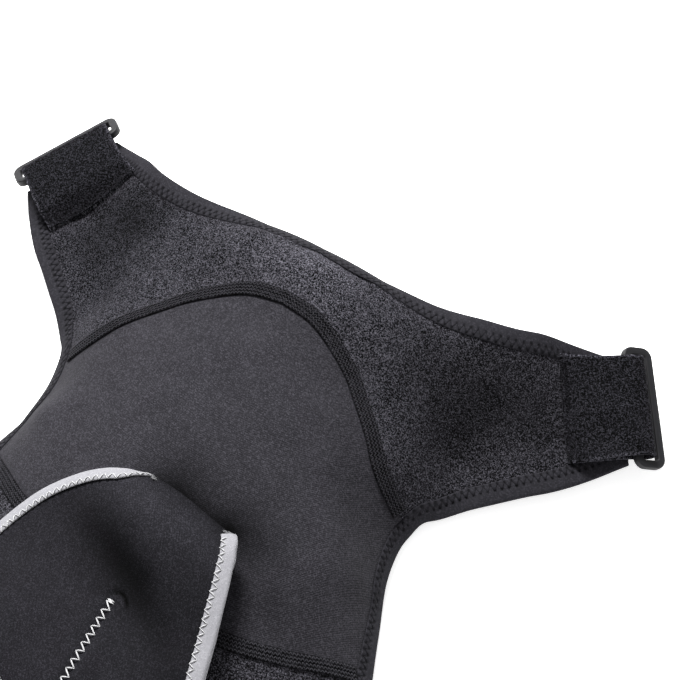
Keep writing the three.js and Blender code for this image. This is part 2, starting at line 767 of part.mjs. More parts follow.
for (const loop of strapLoops) {
  const tip = wingTip(loop);
  add(`${loop.name}_strap_loop`, strapLoop(tip), 'webbing');
  add(`${loop.name}_ring`, strapRing(tip, loop), 'plastic');
}

// Pressure pad, worked out as a grid of places over the cap and the sleeve
const padDown = vec(-Math.sin(padAngle * degrees), -Math.cos(padAngle * degrees), 0);
const padAcross = vec(Math.cos(padAngle * degrees), -Math.sin(padAngle * degrees), 0);
const padLie = clothWall / 2 + seamTapeGap + seamTapeWall + clearance + padBindingWall
  + padBindingGap + padWall / 2;

function padPoint(row, share) {
  const drawUp = padEndRound * share * share * ease((row.down - 0.3) / 0.7);
  const plan = vec(padRootAcross, padRootAlong, 0)
    .addScaledVector(padDown, (row.down - drawUp) * padLength)
    .addScaledVector(padAcross, share * (share < 0 ? row.toLeft : row.toRight) * padFullWidth);
  const sideLift = share < 0 ? row.left : row.right;
  const lift = row.middle + (sideLift - row.middle) * share * share;
  const place = clothAt(plan.x, plan.y);
  return offset(place, padLie + lift * padRise);
}

const padGrid = evenShares(padSteps).map((part) => {
  const share = 2 * part - 1;
  return padRows.map((row) => padPoint(row, share));
});

// Normals of a grid from the directions between its neighbours
function gridPlaces(grid) {
  return grid.map((line, i) => line.map((point, j) => {
    const acrossRun = grid[Math.min(grid.length - 1, i + 1)][j].clone()
      .sub(grid[Math.max(0, i - 1)][j]);
    const downRun = line[Math.min(line.length - 1, j + 1)].clone().sub(line[Math.max(0, j - 1)]);
    return { point, normal: downRun.cross(acrossRun).normalize() };
  }));
}
const padPlaces = gridPlaces(padGrid);
const padFace = (height) => padPlaces.map((line) => line.map((place) => offset(place, height)));
add('pressure_pad', slab(padFace(padWall / 2), padFace(-padWall / 2)), 'padCloth');

// Place at a distance along a run of places
function placeAlong(line, distance) {
  let walked = 0;
  for (let k = 1; k < line.length; k += 1) {
    const span = line[k].point.distanceTo(line[k - 1].point);
    if (walked + span >= distance || k === line.length - 1) {
      const share = (distance - walked) / span;
      return {
        point: line[k - 1].point.clone().lerp(line[k].point, share),
        normal: line[k - 1].normal.clone().lerp(line[k].normal, share).normalize(),
      };
    }
    walked += span;
  }
  return line[0];
}

// Binding of the pad: down its left side, round its lower end and up its right side
function padBinding() {
  const lastRow = padRows.length - 1;
  const stops = [];
  const stop = (i, j, stepI, stepJ) => stops.push({ i, j, stepI, stepJ });
  for (let j = padBoundFrom.left; j < lastRow; j += 1) stop(0, j, 1, 0);
  stop(0, lastRow, 1, -1);
  for (let i = 1; i < padSteps; i += 1) stop(i, lastRow, 0, -1);
  stop(padSteps, lastRow, -1, -1);
  for (let j = lastRow - 1; j >= padBoundFrom.right; j -= 1) stop(padSteps, j, -1, 0);
  const sections = stops.map(({ i, j, stepI, stepJ }) => {
    const edge = padPlaces[i][j];
    const reach = stepI !== 0 && stepJ !== 0 ? padBindingWidth * Math.SQRT2 : padBindingWidth;
    const line = [0, 1, 2, 3].map((k) => padPlaces[i + k * stepI][j + k * stepJ]);
    const leg = placeAlong(line, reach);
    const middle = placeAlong(line, reach / 2);
    const out = edge.point.clone().sub(middle.point);
    out.addScaledVector(edge.normal, -out.dot(edge.normal)).normalize();
    return { edge, middle, leg, out };
  });
  return foldedTape(sections, padBindingWall, padWall, padBindingGap);
}
add('pad_binding', padBinding(), 'greyTape');

// The origin goes below the middle of the brace, on the table
brace.updateMatrixWorld(true);
const bounds = new THREE.Box3().setFromObject(brace);
const middle = bounds.getCenter(vec(0, 0, 0));
brace.position.set(-middle.x, -middle.y, -bounds.min.z);

export default brace;
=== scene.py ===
import math

import bpy
import numpy as np
from mathutils import Matrix, Vector


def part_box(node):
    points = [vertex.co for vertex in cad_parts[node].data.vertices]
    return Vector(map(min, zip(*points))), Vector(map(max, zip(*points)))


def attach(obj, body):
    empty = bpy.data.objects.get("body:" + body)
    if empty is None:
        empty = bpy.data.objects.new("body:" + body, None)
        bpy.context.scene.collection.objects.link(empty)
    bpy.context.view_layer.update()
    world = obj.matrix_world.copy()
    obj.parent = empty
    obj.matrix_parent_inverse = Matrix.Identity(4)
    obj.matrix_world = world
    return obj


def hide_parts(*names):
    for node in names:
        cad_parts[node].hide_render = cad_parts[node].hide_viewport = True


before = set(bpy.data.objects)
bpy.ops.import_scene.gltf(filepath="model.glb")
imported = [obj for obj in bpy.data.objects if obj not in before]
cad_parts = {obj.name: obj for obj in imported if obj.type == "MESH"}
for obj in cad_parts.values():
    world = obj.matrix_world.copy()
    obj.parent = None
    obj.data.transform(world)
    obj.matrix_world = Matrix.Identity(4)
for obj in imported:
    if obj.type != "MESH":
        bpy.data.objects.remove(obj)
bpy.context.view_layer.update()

MILLIMETRE = 0.001

# The lying brace
HALF_SPAN = 170
NECK_REACH = 115
SLEEVE_REACH = 200
CREST_HEIGHT = 60
SLEEVE_LEAN = 0.17
LEAN_START = 10
LEAN_EASE = 15
SLEEVE_TURN = 0.07
TURN_START = 25
TURN_END = 80
CLOTH_WALL = 3.2
SEAM_GAP = 0.3
CLEARANCE = 0.4

# Tapes
BINDING_WIDTH = 8.6
BINDING_WALL = 0.9
BINDING_GAP = 0.7
BINDING_END_GAP = 0.4
SEAM_TAPE_WIDTH = 7.6
SEAM_TAPE_WALL = 0.5
SEAM_TAPE_GAP = 0.6

# The tapes lie closer to the cloth than the solids, which have coarser grids
TAPE_GAP = 0.12
TAPE_WALL = 0.65
TAPE_SWELL = 0.18
EDGE_THINNING = 0.3
TAPE_SPACING = 0.65
TAPE_DEPTHS = 14
SEAM_SPACING = 1.2
SEAM_DEPTHS = 11

# Webbing loops and rings
WEBBING_WIDTH = 50
WEBBING_WALL = 1.6
LOOP_LENGTH = 40
LOOP_OVERLAP = 27
LOOP_LIFT = 0.8
LOOP_SLACK = 4.2
RING_LENGTH = 61
RING_WIDTH = 16.5
RING_BAR = 4
RING_THICKNESS = 3.8
RING_CORNER = 3.2
RING_CHAMFER = 0.8
RING_ROUND = 0.7
PARTING_LINE = 0.12

# Pressure pad
PAD_WALL = 4
PAD_LENGTH = 116
PAD_FULL_WIDTH = 145
PAD_ROOT_ACROSS = 14
PAD_ROOT_ALONG = -75
PAD_ANGLE = math.radians(10)
PAD_RISE = 16
PAD_END_ROUND = 0.03
PAD_BINDING_WIDTH = 5.8
PAD_BINDING_WALL = 0.8
PAD_BINDING_GAP = 0.9

# Threads and needle holes
THREAD = 0.3
FINE_THREAD = 0.34
HOLE_DEPTH = 0.5
HOLE_RADIUS = 0.75
HOLE_LENGTH = 0.8
HOLE_DIVE = 0.25
HOLE_SHADE = 2.4           # how fast a hole darkens with its depth
DARKEST = -0.92
BINDING_STITCH = 1.75      # from one needle hole to the next along a binding
BINDING_INNER_ROW = 7.6    # needle rows, from the bound edge
BINDING_OUTER_ROW = 4.4
SEAM_STITCH = 0.9
SEAM_ROWS = ((-3.3, -2.0), (-1.55, -0.2), (0.2, 1.55), (2.0, 3.3))
LOOP_STITCH = 1.5
LOOP_ROWS = (1.4, 3.4)     # needle rows, from the loop's sewn end
PAD_STITCH = 2.0
DART_STITCH = 2.15
DART_SWING = 1.7
DART_THREAD = 0.68
PAD_THREAD = 0.52
FRAY = 0.18
PAD_FRAY = 0.22

# Plan outline of the right half: across is a share of HALF_SPAN, along a share of NECK_REACH
# above the armhole line and of SLEEVE_REACH below it
SIDE_EDGE = [
    (1.01, 0.64), (0.93, 0.485), (0.865, 0.38), (0.805, 0.305), (0.745, 0.225),
    (0.68, 0.14), (0.62, 0.045), (0.585, -0.01), (0.57, -0.05), (0.56, -0.1),
    (0.565, -0.19), (0.60, -0.295), (0.63, -0.385), (0.66, -0.495), (0.67, -0.62),
    (0.665, -0.76), (0.65, -0.89), (0.62, -1),
]
UPPER_SEAM_ROW = 8
LOWER_SEAM_ROW = 12
NECK_EDGE = [
    (0, 0.73), (0.18, 0.73), (0.295, 0.74), (0.38, 0.75), (0.47, 0.77),
    (0.59, 0.815), (0.70, 0.90), (0.77, 0.95), (0.84, 0.99),
]
NECK_ROW = 3
WING_END = [(1.01, 0.64), (0.935, 0.84), (0.84, 0.99)]
UPPER_SEAM = [
    (0, 0.405), (0.105, 0.38), (0.18, 0.33), (0.265, 0.25), (0.32, 0.175),
    (0.385, 0.085), (0.455, -0.01), (0.515, -0.035), (0.57, -0.05),
]
LOWER_SEAM = [
    (0, -0.575), (0.14, -0.57), (0.27, -0.55), (0.425, -0.495), (0.53, -0.44), (0.63, -0.385),
]
SLEEVE_END = [(0, -1.03), (0.3, -1.025), (0.62, -1)]

# Heights of the cloth's middle as shares of CREST_HEIGHT: across, along, height and, where
# the left half differs, its own height
HEIGHT_SPOTS = [
    (0, 0.74, 0.80), (0, 0.66, 0.95), (0, 0.57, 1.0), (0, 0.42, 0.95), (0, 0.13, 0.935),
    (0, -0.15, 0.90), (0, -0.37, 0.84), (0, -0.6, 0.74), (0, -0.82, 0.67), (0, -1.03, 0.60),
    (0.19, 0.74, 0.72, 0.80), (0.19, 0.66, 0.86, 0.93), (0.19, 0.56, 0.92, 0.97),
    (0.19, 0.385, 0.865), (0.19, 0.09, 0.865), (0.19, -0.25, 0.815), (0.19, -0.555, 0.70),
    (0.19, -1.02, 0.60), (0.355, 0.75, 0.68, 0.76), (0.355, 0.63, 0.72, 0.78),
    (0.355, 0.26, 0.66), (0.355, 0, 0.70), (0.355, -0.25, 0.665), (0.355, -0.555, 0.55),
    (0.355, -0.8, 0.50), (0.355, -1, 0.45), (0.5, 0.78, 0.70), (0.5, 0.57, 0.57),
    (0.5, 0.35, 0.45), (0.5, 0.04, 0.45), (0.5, -0.25, 0.43), (0.52, -0.555, 0.32),
    (0.52, -0.8, 0.30), (0.52, -1, 0.25), (0.57, 0.81, 0.68), (0.65, 0.86, 0.62),
    (0.70, 0.90, 0.52), (0.77, 0.95, 0.40), (0.84, 0.99, 0.32), (0.65, 0.43, 0.27),
    (0.735, 0.61, 0.28), (0.82, 0.78, 0.30), (0.59, 0.26, 0.20), (0.91, 0.74, 0.25),
    (1.01, 0.64, 0.10), (0.93, 0.485, 0.10), (0.865, 0.38, 0.10), (0.805, 0.305, 0.09),
    (0.745, 0.225, 0.08), (0.68, 0.14, 0.06), (0.62, 0.045, 0.05), (0.57, -0.05, 0.05),
    (0.56, -0.125, 0.05), (0.575, -0.25, 0.05), (0.63, -0.385, 0.05), (0.67, -0.575, 0.05),
    (0.66, -0.8, 0.05), (0.62, -1, 0.05),
]
SPOT_SOFTNESS = 40

# Sewn ends of the loops: side, across, along, angle from X towards Y and the ring's drop
STRAP_LOOPS = {
    "left": (-1, 0.765, 0.648, math.radians(37), math.radians(8)),
    "right": (1, 0.788, 0.674, math.radians(33), math.radians(14)),
}

# Rows of the pad: down, reach to the left, reach to the right, left, middle and right lift
PAD_ROWS = np.array([
    (0.06, 0.15, 0.09, -0.1, -0.1, -0.1),
    (0.015, 0.145, 0.09, -0.2, -0.12, -0.12),
    (-0.015, 0.145, 0.1, -0.25, -0.04, 0.02),
    (-0.035, 0.15, 0.125, -0.25, 0.05, 0.24),
    (-0.02, 0.17, 0.145, -0.06, 0.21, 0.46),
    (0.01, 0.205, 0.155, 0.12, 0.35, 0.56),
    (0.035, 0.24, 0.165, 0.22, 0.46, 0.6),
    (0.07, 0.285, 0.172, 0.22, 0.58, 0.62),
    (0.135, 0.345, 0.189, 0.18, 0.66, 0.64),
    (0.225, 0.41, 0.21, 0.12, 0.62, 0.64),
    (0.33, 0.465, 0.236, 0.08, 0.4, 0.6),
    (0.46, 0.51, 0.265, 0.05, 0.24, 0.54),
    (0.59, 0.535, 0.3, 0.04, 0.26, 0.42),
    (0.71, 0.55, 0.33, 0.03, 0.3, 0.28),
    (0.82, 0.555, 0.36, 0.02, 0.26, 0.13),
    (0.92, 0.545, 0.375, 0, 0.13, 0.04),
    (1, 0.505, 0.365, 0, 0, 0),
])
PAD_BOUND_FROM = {"left": 4.0, "right": 3.2}

# Soft folds of each panel: the plan ends of each in millimetres, half width and height
FOLDS = {
    "yoke_panel": [
        (-136, 70, -80, 62, 10, -1.1), (-55, 86, -88, 54, 6, 0.9), (-112, 42, -84, 60, 6, -0.7),
        (28, 78, 48, 38, 9, -1.2), (60, 92, 78, 34, 12, 0.9), (88, 74, 104, 40, 12, -1.0),
        (-20, 78, -44, 58, 8, 0.6),
    ],
    "cap_panel": [(-14, -64, 46, -72, 12, -3.0)],
    "sleeve_panel": [(-60, -150, -20, -140, 14, -0.8)],
}

# Patches of painted shade and painted highlight on the pile and the knit, darker or lighter: plan place,
# radius, tone
PAINTED_LIGHT_AND_SHADE = {
    "yoke_panel": [
        (-120, 66, 26, -0.5), (-96, 74, 18, -0.38), (-98, 36, 22, -0.25), (62, 62, 15, -0.15),
        (98, 58, 27, -0.58), (134, 68, 20, -0.42), (92, 30, 20, -0.18), (66, 40, 18, -0.15),
        (6, 75, 26, 0.75), (-40, 76, 16, 0.15),
    ],
    "cap_panel": [(2, -60, 15, -0.5), (36, -66, 17, -0.55), (58, -84, 14, -0.3)],
}

# The cap is dark beside the pad's roll: the ends of the line in the plan and its half width
SHADE_BY_ROLL = (-10, -66, 30, -68, 6)
SHADE_TONE = -0.5


def ease(value):
    t = np.clip(value, 0, 1)
    return t * t * (3 - 2 * t)


def unit(vectors):
    return vectors / np.maximum(np.linalg.norm(vectors, axis=-1, keepdims=True), 1e-9)


# Falls softly from 1 as a value moves away from 0
def bell(value, width):
    return np.exp(-(value / width) ** 2)


# Distances along a line of points, from its start
def distances(line):
    return np.concatenate([[0], np.cumsum(np.linalg.norm(np.diff(line, axis=0), axis=1))])


# Values along a line at wanted distances from its start
def at_distances(wanted, lengths, values):
    return np.column_stack([np.interp(wanted, lengths, column) for column in values.T])


# Smooth noise from -1 to 1 over a plane, with one lattice cell to each grain
def noise(u, v, grain, seed):
    lattice = np.random.default_rng(seed).uniform(-1, 1, (128, 128))
    x, y = np.asarray(u) / grain + 500, np.asarray(v) / grain + 500
    i, j = np.floor(x).astype(int), np.floor(y).astype(int)
    a, b = ease(x - i), ease(y - j)

    def at(di, dj):
        return lattice[(i + di) % 128, (j + dj) % 128]

    low = at(0, 0) * (1 - a) + at(1, 0) * a
    high = at(0, 1) * (1 - a) + at(1, 1) * a
    return low * (1 - b) + high * b


def plan_points(table, side=1):
    reach = [SLEEVE_REACH if row[1] < 0 else NECK_REACH for row in table]
    return np.array([(side * r[0] * HALF_SPAN, r[1] * m) for r, m in zip(table, reach)])


# The cloth's height over the plan, a thin sheet bent over the spots
def bent_sheet():
    places, heights = [], []
    for spot in HEIGHT_SPOTS:
        for side in (1, -1) if spot[0] > 0 else (1,):
            share = spot[3] if side < 0 and len(spot) > 3 else spot[2]
            places.append(plan_points([spot], side)[0])
            heights.append(share * CREST_HEIGHT)
    places = np.array(places)
    count = len(places)

    def bend(points):
        square = ((points[:, None] - places[None]) ** 2).sum(axis=2)
        return np.where(square > 0, square * np.log(np.maximum(square, 1e-12)), 0)

    rows = np.zeros((count + 3, count + 3))
    rows[:count, :count] = bend(places) + SPOT_SOFTNESS * np.eye(count)
    plane = np.column_stack([np.ones(count), places])
    rows[:count, count:] = plane
    rows[count:, :count] = plane.T
    weights = np.linalg.solve(rows, np.concatenate([heights, np.zeros(3)]))

    def height(x, y):
        points = np.column_stack([np.ravel(x), np.ravel(y)])
        flat = weights[count] + points @ weights[count + 1:]
        return (flat + bend(points) @ weights[:count]).reshape(np.shape(x))

    return height


sheet_height = bent_sheet()


# The soft sleeve lies a little off the midline
def settled(x, y):
    down = np.maximum(0, -y - LEAN_START)
    lean = SLEEVE_LEAN * down * down / (down + LEAN_EASE)
    turn = SLEEVE_TURN * ease((-y - TURN_START) / (TURN_END - TURN_START))
    return np.stack([x + lean, y - turn * x, sheet_height(x, y)], axis=-1)


# Points and normals of the cloth's middle over plan points
def cloth_at(plan):
    x, y = plan[..., 0], plan[..., 1]
    step = 0.5
    along_x = settled(x + step, y) - settled(x - step, y)
    along_y = settled(x, y + step) - settled(x, y - step)
    return settled(x, y), unit(np.cross(along_x, along_y))


# Points of a curve through the given points, t from 0 to 1
def curve(points, t):
    count = len(points)
    place = np.asarray(t, float) * (count - 1)
    index = np.minimum(place.astype(int), count - 2)
    w = (place - index)[:, None]
    ends = np.vstack([2 * points[0] - points[1], points, 2 * points[-1] - points[-2]])
    p0, p1, p2, p3 = (ends[index + k] for k in range(4))
    pairs = ((p0, p1), (p1, p2), (p2, p3))
    g0, g1, g2 = (((b - a) ** 2).sum(axis=1, keepdims=True) ** 0.25 for a, b in pairs)
    t1 = ((p1 - p0) / g0 - (p2 - p0) / (g0 + g1) + (p2 - p1) / g1) * g1
    t2 = ((p2 - p1) / g1 - (p3 - p1) / (g1 + g2) + (p3 - p2) / g2) * g1
    square = (-3 * p1 + 3 * p2 - 2 * t1 - t2) * w * w
    return p1 + t1 * w + square + (2 * p1 - 2 * p2 + t1 + t2) * w ** 3


# Plan points along a table's curve between two of its rows, at even shares of its length
def stations(table, first, last, steps, side=1):
    points = plan_points(table, side)
    fine = curve(points, (first + (last - first) * np.linspace(0, 1, 400)) / (len(table) - 1))
    lengths = distances(fine)
    return at_distances(np.linspace(0, lengths[-1], steps + 1), lengths, fine)


def whole(table, steps, side=1):
    return stations(table, 0, len(table) - 1, steps, side)


def both_halves(half_of):
    return np.vstack([half_of(-1)[:0:-1], half_of(1)])


# Patch between four plan curves; low and high run from left to right, the others upwards
def patch(low, high, left, right):
    u = np.linspace(0, 1, len(low))[:, None, None]
    v = np.linspace(0, 1, len(left))[None, :, None]
    ruled_up = low[:, None] * (1 - v) + high[:, None] * v
    ruled_across = left[None] * (1 - u) + right[None] * u
    corners = (low[0] * (1 - u) + low[-1] * u) * (1 - v) + (high[0] * (1 - u) + high[-1] * u) * v
    return ruled_up + ruled_across - corners


# Unit plan directions square to a line, to the left of its run
def square_to(line):
    run = np.vstack([line[1] - line[0], line[2:] - line[:-2], line[-1] - line[-2]])
    run = unit(run)
    return np.column_stack([-run[:, 1], run[:, 0]])


# Plan points at a surface distance from plan points, along plan directions
def away(start, direction, distance):
    step = 0.4
    count = int(abs(distance) * 2.5 / step) + 3
    offsets = np.arange(count) * step * (1 if distance >= 0 else -1)
    plans = start[None] + direction[None] * offsets[:, None, None]
    points = settled(plans[..., 0], plans[..., 1])
    lengths = np.cumsum(np.linalg.norm(np.diff(points, axis=0), axis=2), axis=0)
    lengths = np.vstack([np.zeros((1, len(start))), lengths])
    walked = [np.interp(abs(distance), lengths[:, i], offsets) for i in range(len(start))]
    return start + direction * np.array(walked)[:, None]


# Materials

# A new node: its settings, and for each input a value or the socket that feeds it
def node(tree, kind, **values):
    made = tree.nodes.new(kind)
    for key, value in values.items():
        if hasattr(made, key):
            setattr(made, key, value)
        elif isinstance(value, bpy.types.NodeSocket):
            tree.links.new(value, made.inputs[key])
        else:
            made.inputs[key].default_value = value
    return made


def set_inputs(shader, **values):
    for key, value in values.items():
        shader.inputs[key.replace("_", " ")].default_value = value


def new_material(name, roughness, sheen, specular):
    material = bpy.data.materials.new(name)
    material.use_nodes = True
    tree = material.node_tree
    shader = next(n for n in tree.nodes if n.type == "BSDF_PRINCIPLED")
    set_inputs(shader, Roughness=roughness, Specular_IOR_Level=specular, Sheen_Weight=sheen,
               Sheen_Roughness=0.45)
    return material, tree, shader


def mixed_colour(tree, factor, low, high):
    ramp = node(tree, "ShaderNodeValToRGB", Fac=factor)
    ramp.color_ramp.elements[0].color = (*low, 1)
    ramp.color_ramp.elements[1].color = (*high, 1)
    return ramp.outputs["Color"]


# A value worked on by a number or by another value
def worked(tree, operation, first, second):
    made = node(tree, "ShaderNodeMath", operation=operation)
    tree.links.new(first, made.inputs[0])
    if isinstance(second, float):
        made.inputs[1].default_value = second
    else:
        tree.links.new(second, made.inputs[1])
    return made.outputs[0]


def bump(tree, shader, height, distance, strength=1.0):
    made = node(tree, "ShaderNodeBump", Strength=strength, Distance=distance, Height=height)
    tree.links.new(made.outputs["Normal"], shader.inputs["Normal"])


def noise_value(tree, source, scale, detail, roughness):
    return node(tree, "ShaderNodeTexNoise", Scale=scale, Detail=detail, Roughness=roughness,
                Vector=source).outputs["Fac"]


# Tone is a value on each point: above 0 the cloth is lighter there, below 0 darker; most of it is painted
# light and shade
def toned(tree, colour, shader):
    tone = node(tree, "ShaderNodeAttribute", attribute_name="tone")
    made = node(tree, "ShaderNodeMix", data_type="RGBA", blend_type="MULTIPLY", Factor=1.0)
    tree.links.new(colour, made.inputs[6])
    tree.links.new(worked(tree, "ADD", tone.outputs["Fac"], 1.0), made.inputs[7])
    tree.links.new(made.outputs[2], shader.inputs["Base Color"])


YARN_CONTRAST = 2.6
DRIFT = 0.25         # how far the tone wanders over the cloth
LIGHT_YARN = 3.0     # the lightest yarn beside the darkest


# Cloth whose colour and height vary from one tuft or loop of the yarn to the next
def cloth_material(name, colour, grain, contrast, depth, sheen, ribs=None, roughness=0.9):
    material, tree, shader = new_material(name, roughness, sheen, 0.04)
    coordinates = node(tree, "ShaderNodeTexCoord").outputs
    tufts = node(tree, "ShaderNodeTexVoronoi", Scale=grain, Vector=coordinates["Object"])
    shares = node(tree, "ShaderNodeSeparateColor", Color=tufts.outputs["Color"])
    yarn = worked(tree, "POWER", shares.outputs["Red"], YARN_CONTRAST)
    if ribs is not None:
        pitch, turn, share = ribs
        turned = node(tree, "ShaderNodeMapping", Rotation=(0, 0, turn), Vector=coordinates["UV"])
        wave = node(tree, "ShaderNodeTexWave", Scale=pitch, Distortion=0.8,
                    Vector=turned.outputs["Vector"])
        blend = node(tree, "ShaderNodeMix", Factor=share)
        tree.links.new(yarn, blend.inputs[2])
        tree.links.new(wave.outputs["Fac"], blend.inputs[3])
        yarn = blend.outputs[0]
    patches = noise_value(tree, coordinates["Object"], 70.0, 2.0, 0.6)
    drift = worked(tree, "ADD", worked(tree, "MULTIPLY", patches, DRIFT), -DRIFT / 2)
    low = tuple(value * (1 - contrast) for value in colour)
    high = tuple(value * (1 + LIGHT_YARN * contrast) for value in colour)
    toned(tree, mixed_colour(tree, worked(tree, "ADD", yarn, drift), low, high), shader)
    bump(tree, shader, yarn, depth)
    return material


def plastic_material(name, low, high):
    material, tree, shader = new_material(name, 0.45, 0.0, 0.2)
    source = node(tree, "ShaderNodeTexCoord").outputs["Object"]
    cloudy = noise_value(tree, source, 90.0, 3.0, 0.6)
    tree.links.new(mixed_colour(tree, cloudy, low, high), shader.inputs["Base Color"])
    bump(tree, shader, noise_value(tree, source, 1800.0, 2.0, 0.5), 0.00012, 0.5)
    return material


FLEECE = cloth_material("fleece", (0.0226, 0.0219, 0.026), 2400.0, 0.97, 0.0003, 0.0)
LOOP_PILE = cloth_material("loop_pile", (0.0078, 0.0076, 0.0092), 2200.0, 0.95, 0.0004, 0.0)
JERSEY = cloth_material("jersey", (0.0189, 0.0182, 0.0215), 2100.0, 0.52, 0.00010, 0.02,
                        (42.0, 0.7, 0.3))
PAD_CLOTH = cloth_material("pad_cloth", (0.009, 0.0087, 0.0106), 2200.0, 0.5, 0.0001, 0.0,
                           (46.0, 0.7, 0.25), 0.8)
BLACK_TAPE = cloth_material("black_tape", (0.0158, 0.0153, 0.0183), 1600.0, 0.35, 0.0001, 0.0,
                            (60.0, 1.57, 0.4), 0.8)
SEAM_CLOTH = cloth_material("seam_cloth", (0.0066, 0.0064, 0.0076), 1300.0, 0.7, 0.0003, 0.0)
GREY_TAPE = cloth_material("grey_tape", (0.225, 0.223, 0.238), 1600.0, 0.1, 0.00012, 0.04,
                           (70.0, 1.57, 0.5), 0.75)
PLASTIC = plastic_material("moulded_plastic", (0.008, 0.0078, 0.0092), (0.0115, 0.0113, 0.013))


def thread_material(name, low, high):
    material, tree, shader = new_material(name, 0.8, 0.0, 0.05)
    twist = node(tree, "ShaderNodeTexWave", Scale=160.0, Distortion=0.6,
                 Vector=node(tree, "ShaderNodeTexCoord").outputs["UV"]).outputs["Fac"]
    tree.links.new(mixed_colour(tree, twist, low, high), shader.inputs["Base Color"])
    bump(tree, shader, twist, 0.00015)
    return material


BLACK_THREAD = thread_material("black_thread", (0.009, 0.0088, 0.0105), (0.017, 0.0165, 0.0195))
DARK_THREAD = thread_material("dark_grey_thread", (0.03, 0.0295, 0.0345), (0.09, 0.088, 0.1))
WHITE_THREAD = thread_material("white_thread", (0.55, 0.55, 0.56), (0.8, 0.8, 0.81))
GREY_THREAD = thread_material("grey_thread", (0.2, 0.2, 0.21), (0.34, 0.34, 0.35))


# Meshes

# Pairs of values over a grid, as rows
def flat_grid(first, second):
    return np.stack(np.broadcast_arrays(first, second), axis=-1).reshape(-1, 2)


def in_scene(name, data):
    made = bpy.data.objects.new(name, data)
    bpy.context.scene.collection.objects.link(made)
    return made


def make_piece(name, points, faces, uv, material, slot, replaced=(), tone=None):
    points = np.asarray(points, float)
    first, second, third = (points[[face[k] for face in faces]] for k in range(3))
    if (first * np.cross(second, third)).sum() < 0:
        faces = [face[::-1] for face in faces]
    mesh = bpy.data.meshes.new(name)
    mesh.from_pydata(((points + SHIFT) * MILLIMETRE).tolist(), [], faces)
    mesh.update()
    mesh.shade_smooth()
    layer = mesh.uv_layers.new(name="cloth")
    index = np.empty(len(mesh.loops), dtype=np.int32)
    mesh.loops.foreach_get("vertex_index", index)
    layer.data.foreach_set("uv", (np.asarray(uv, float)[index] / 100).ravel())
    values = np.zeros(len(points)) if tone is None else np.asarray(tone, float)
    mesh.attributes.new("tone", "FLOAT", "POINT").data.foreach_set("value", values)
    mesh.materials.append(material)
    piece = in_scene(name, mesh)
    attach(piece, "root")
    if replaced:
        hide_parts(*replaced)
    return piece


# Faces of a closed body between an upper and a lower grid of points
def slab_faces(rows, columns):
    index = np.arange(rows * columns).reshape(rows, columns)
    a, b = index[:-1, :-1].ravel(), index[1:, :-1].ravel()
    c, d = index[1:, 1:].ravel(), index[:-1, 1:].ravel()
    low = rows * columns
    faces = np.column_stack([a, b, c, d]).tolist()
    faces += np.column_stack([d + low, c + low, b + low, a + low]).tolist()
    rim = np.concatenate([index[:, 0], index[-1, 1:], index[-2::-1, -1], index[0, -2:0:-1]])
    after = np.roll(rim, -1)
    faces += np.column_stack([after, rim, rim + low, after + low]).tolist()
    return faces


# Closed body between two grids of points
def make_slab(name, upper, lower, uv, tone, *look):
    body = np.vstack([upper.reshape(-1, 3), lower.reshape(-1, 3)])
    return make_piece(name, body, slab_faces(*upper.shape[:2]), np.vstack([uv, uv]), *look,
                      tone=np.concatenate([tone.ravel()] * 2))


# Closed or open sweep of closed sections
def sweep_faces(rows, columns, closed=False):
    index = np.arange(rows * columns).reshape(rows, columns)
    following = np.roll(index, -1, axis=0) if closed else index[1:]
    first = index if closed else index[:-1]
    a, b = first, np.roll(first, -1, axis=1)
    d, c = following, np.roll(following, -1, axis=1)
    faces = np.stack([a, b, c, d], axis=-1).reshape(-1, 4).tolist()
    if not closed:
        faces.append(index[0, ::-1].tolist())
        faces.append(index[-1].tolist())
    return faces


def swept(name, sections, material, slot, replaced=(), closed=False, tone=None):
    sections = np.asarray(sections)
    rows, columns = sections.shape[:2]
    middle = sections.mean(axis=1)
    round_it = distances(sections[rows // 2])
    uv = flat_grid(distances(middle)[:, None], round_it[None])
    faces = sweep_faces(rows, columns, closed)
    tone = None if tone is None else np.broadcast_to(tone, (rows, columns)).ravel()
    return make_piece(name, sections.reshape(-1, 3), faces, uv, material, slot, replaced, tone)


# Tubes along runs of points, as one piece
def threads(name, runs, width, material, slot, sides=5):
    points, faces, uv = [], [], []
    count = 0
    angles = np.arange(sides) * 2 * math.pi / sides
    for run in runs:
        run = np.asarray(run, float)
        along = unit(np.gradient(run, axis=0))
        across = unit(np.cross(along, np.array([0.13, 0.21, 0.97])))
        up = np.cross(across, along)
        ring = np.einsum("k,ij->ikj", np.cos(angles), across) + np.einsum("k,ij->ikj", np.sin(angles), up)
        taper = np.ones(len(run))
        taper[0] = taper[-1] = 0.55
        points.append((run[:, None] + ring * (width / 2) * taper[:, None, None]).reshape(-1, 3))
        faces += (np.array(sweep_faces(len(run), sides)[:-2]) + count).tolist()
        caps = np.arange(sides) + count
        faces += [caps[::-1].tolist(), (caps + (len(run) - 1) * sides).tolist()]
        uv.append(flat_grid(distances(run)[:, None], angles[None]))
        count += len(run) * sides
    return make_piece(name, np.vstack(points), faces, np.vstack(uv), material, slot)


# Cloth panels


# Soft shares from 0 to 1 round a plan line
def along_line(plan, x0, y0, x1, y1, width):
    start, run = np.array([x0, y0]), np.array([x1 - x0, y1 - y0])
    share = np.clip(((plan - start) @ run) / (run @ run), 0, 1)
    gap = np.linalg.norm(plan - start - share[..., None] * run, axis=-1)
    return bell(gap, width)


def fold_relief(name, plan):
    height = np.zeros(plan.shape[:2])
    for *line, lift in FOLDS[name]:
        height += lift * along_line(plan, *line)
    return height
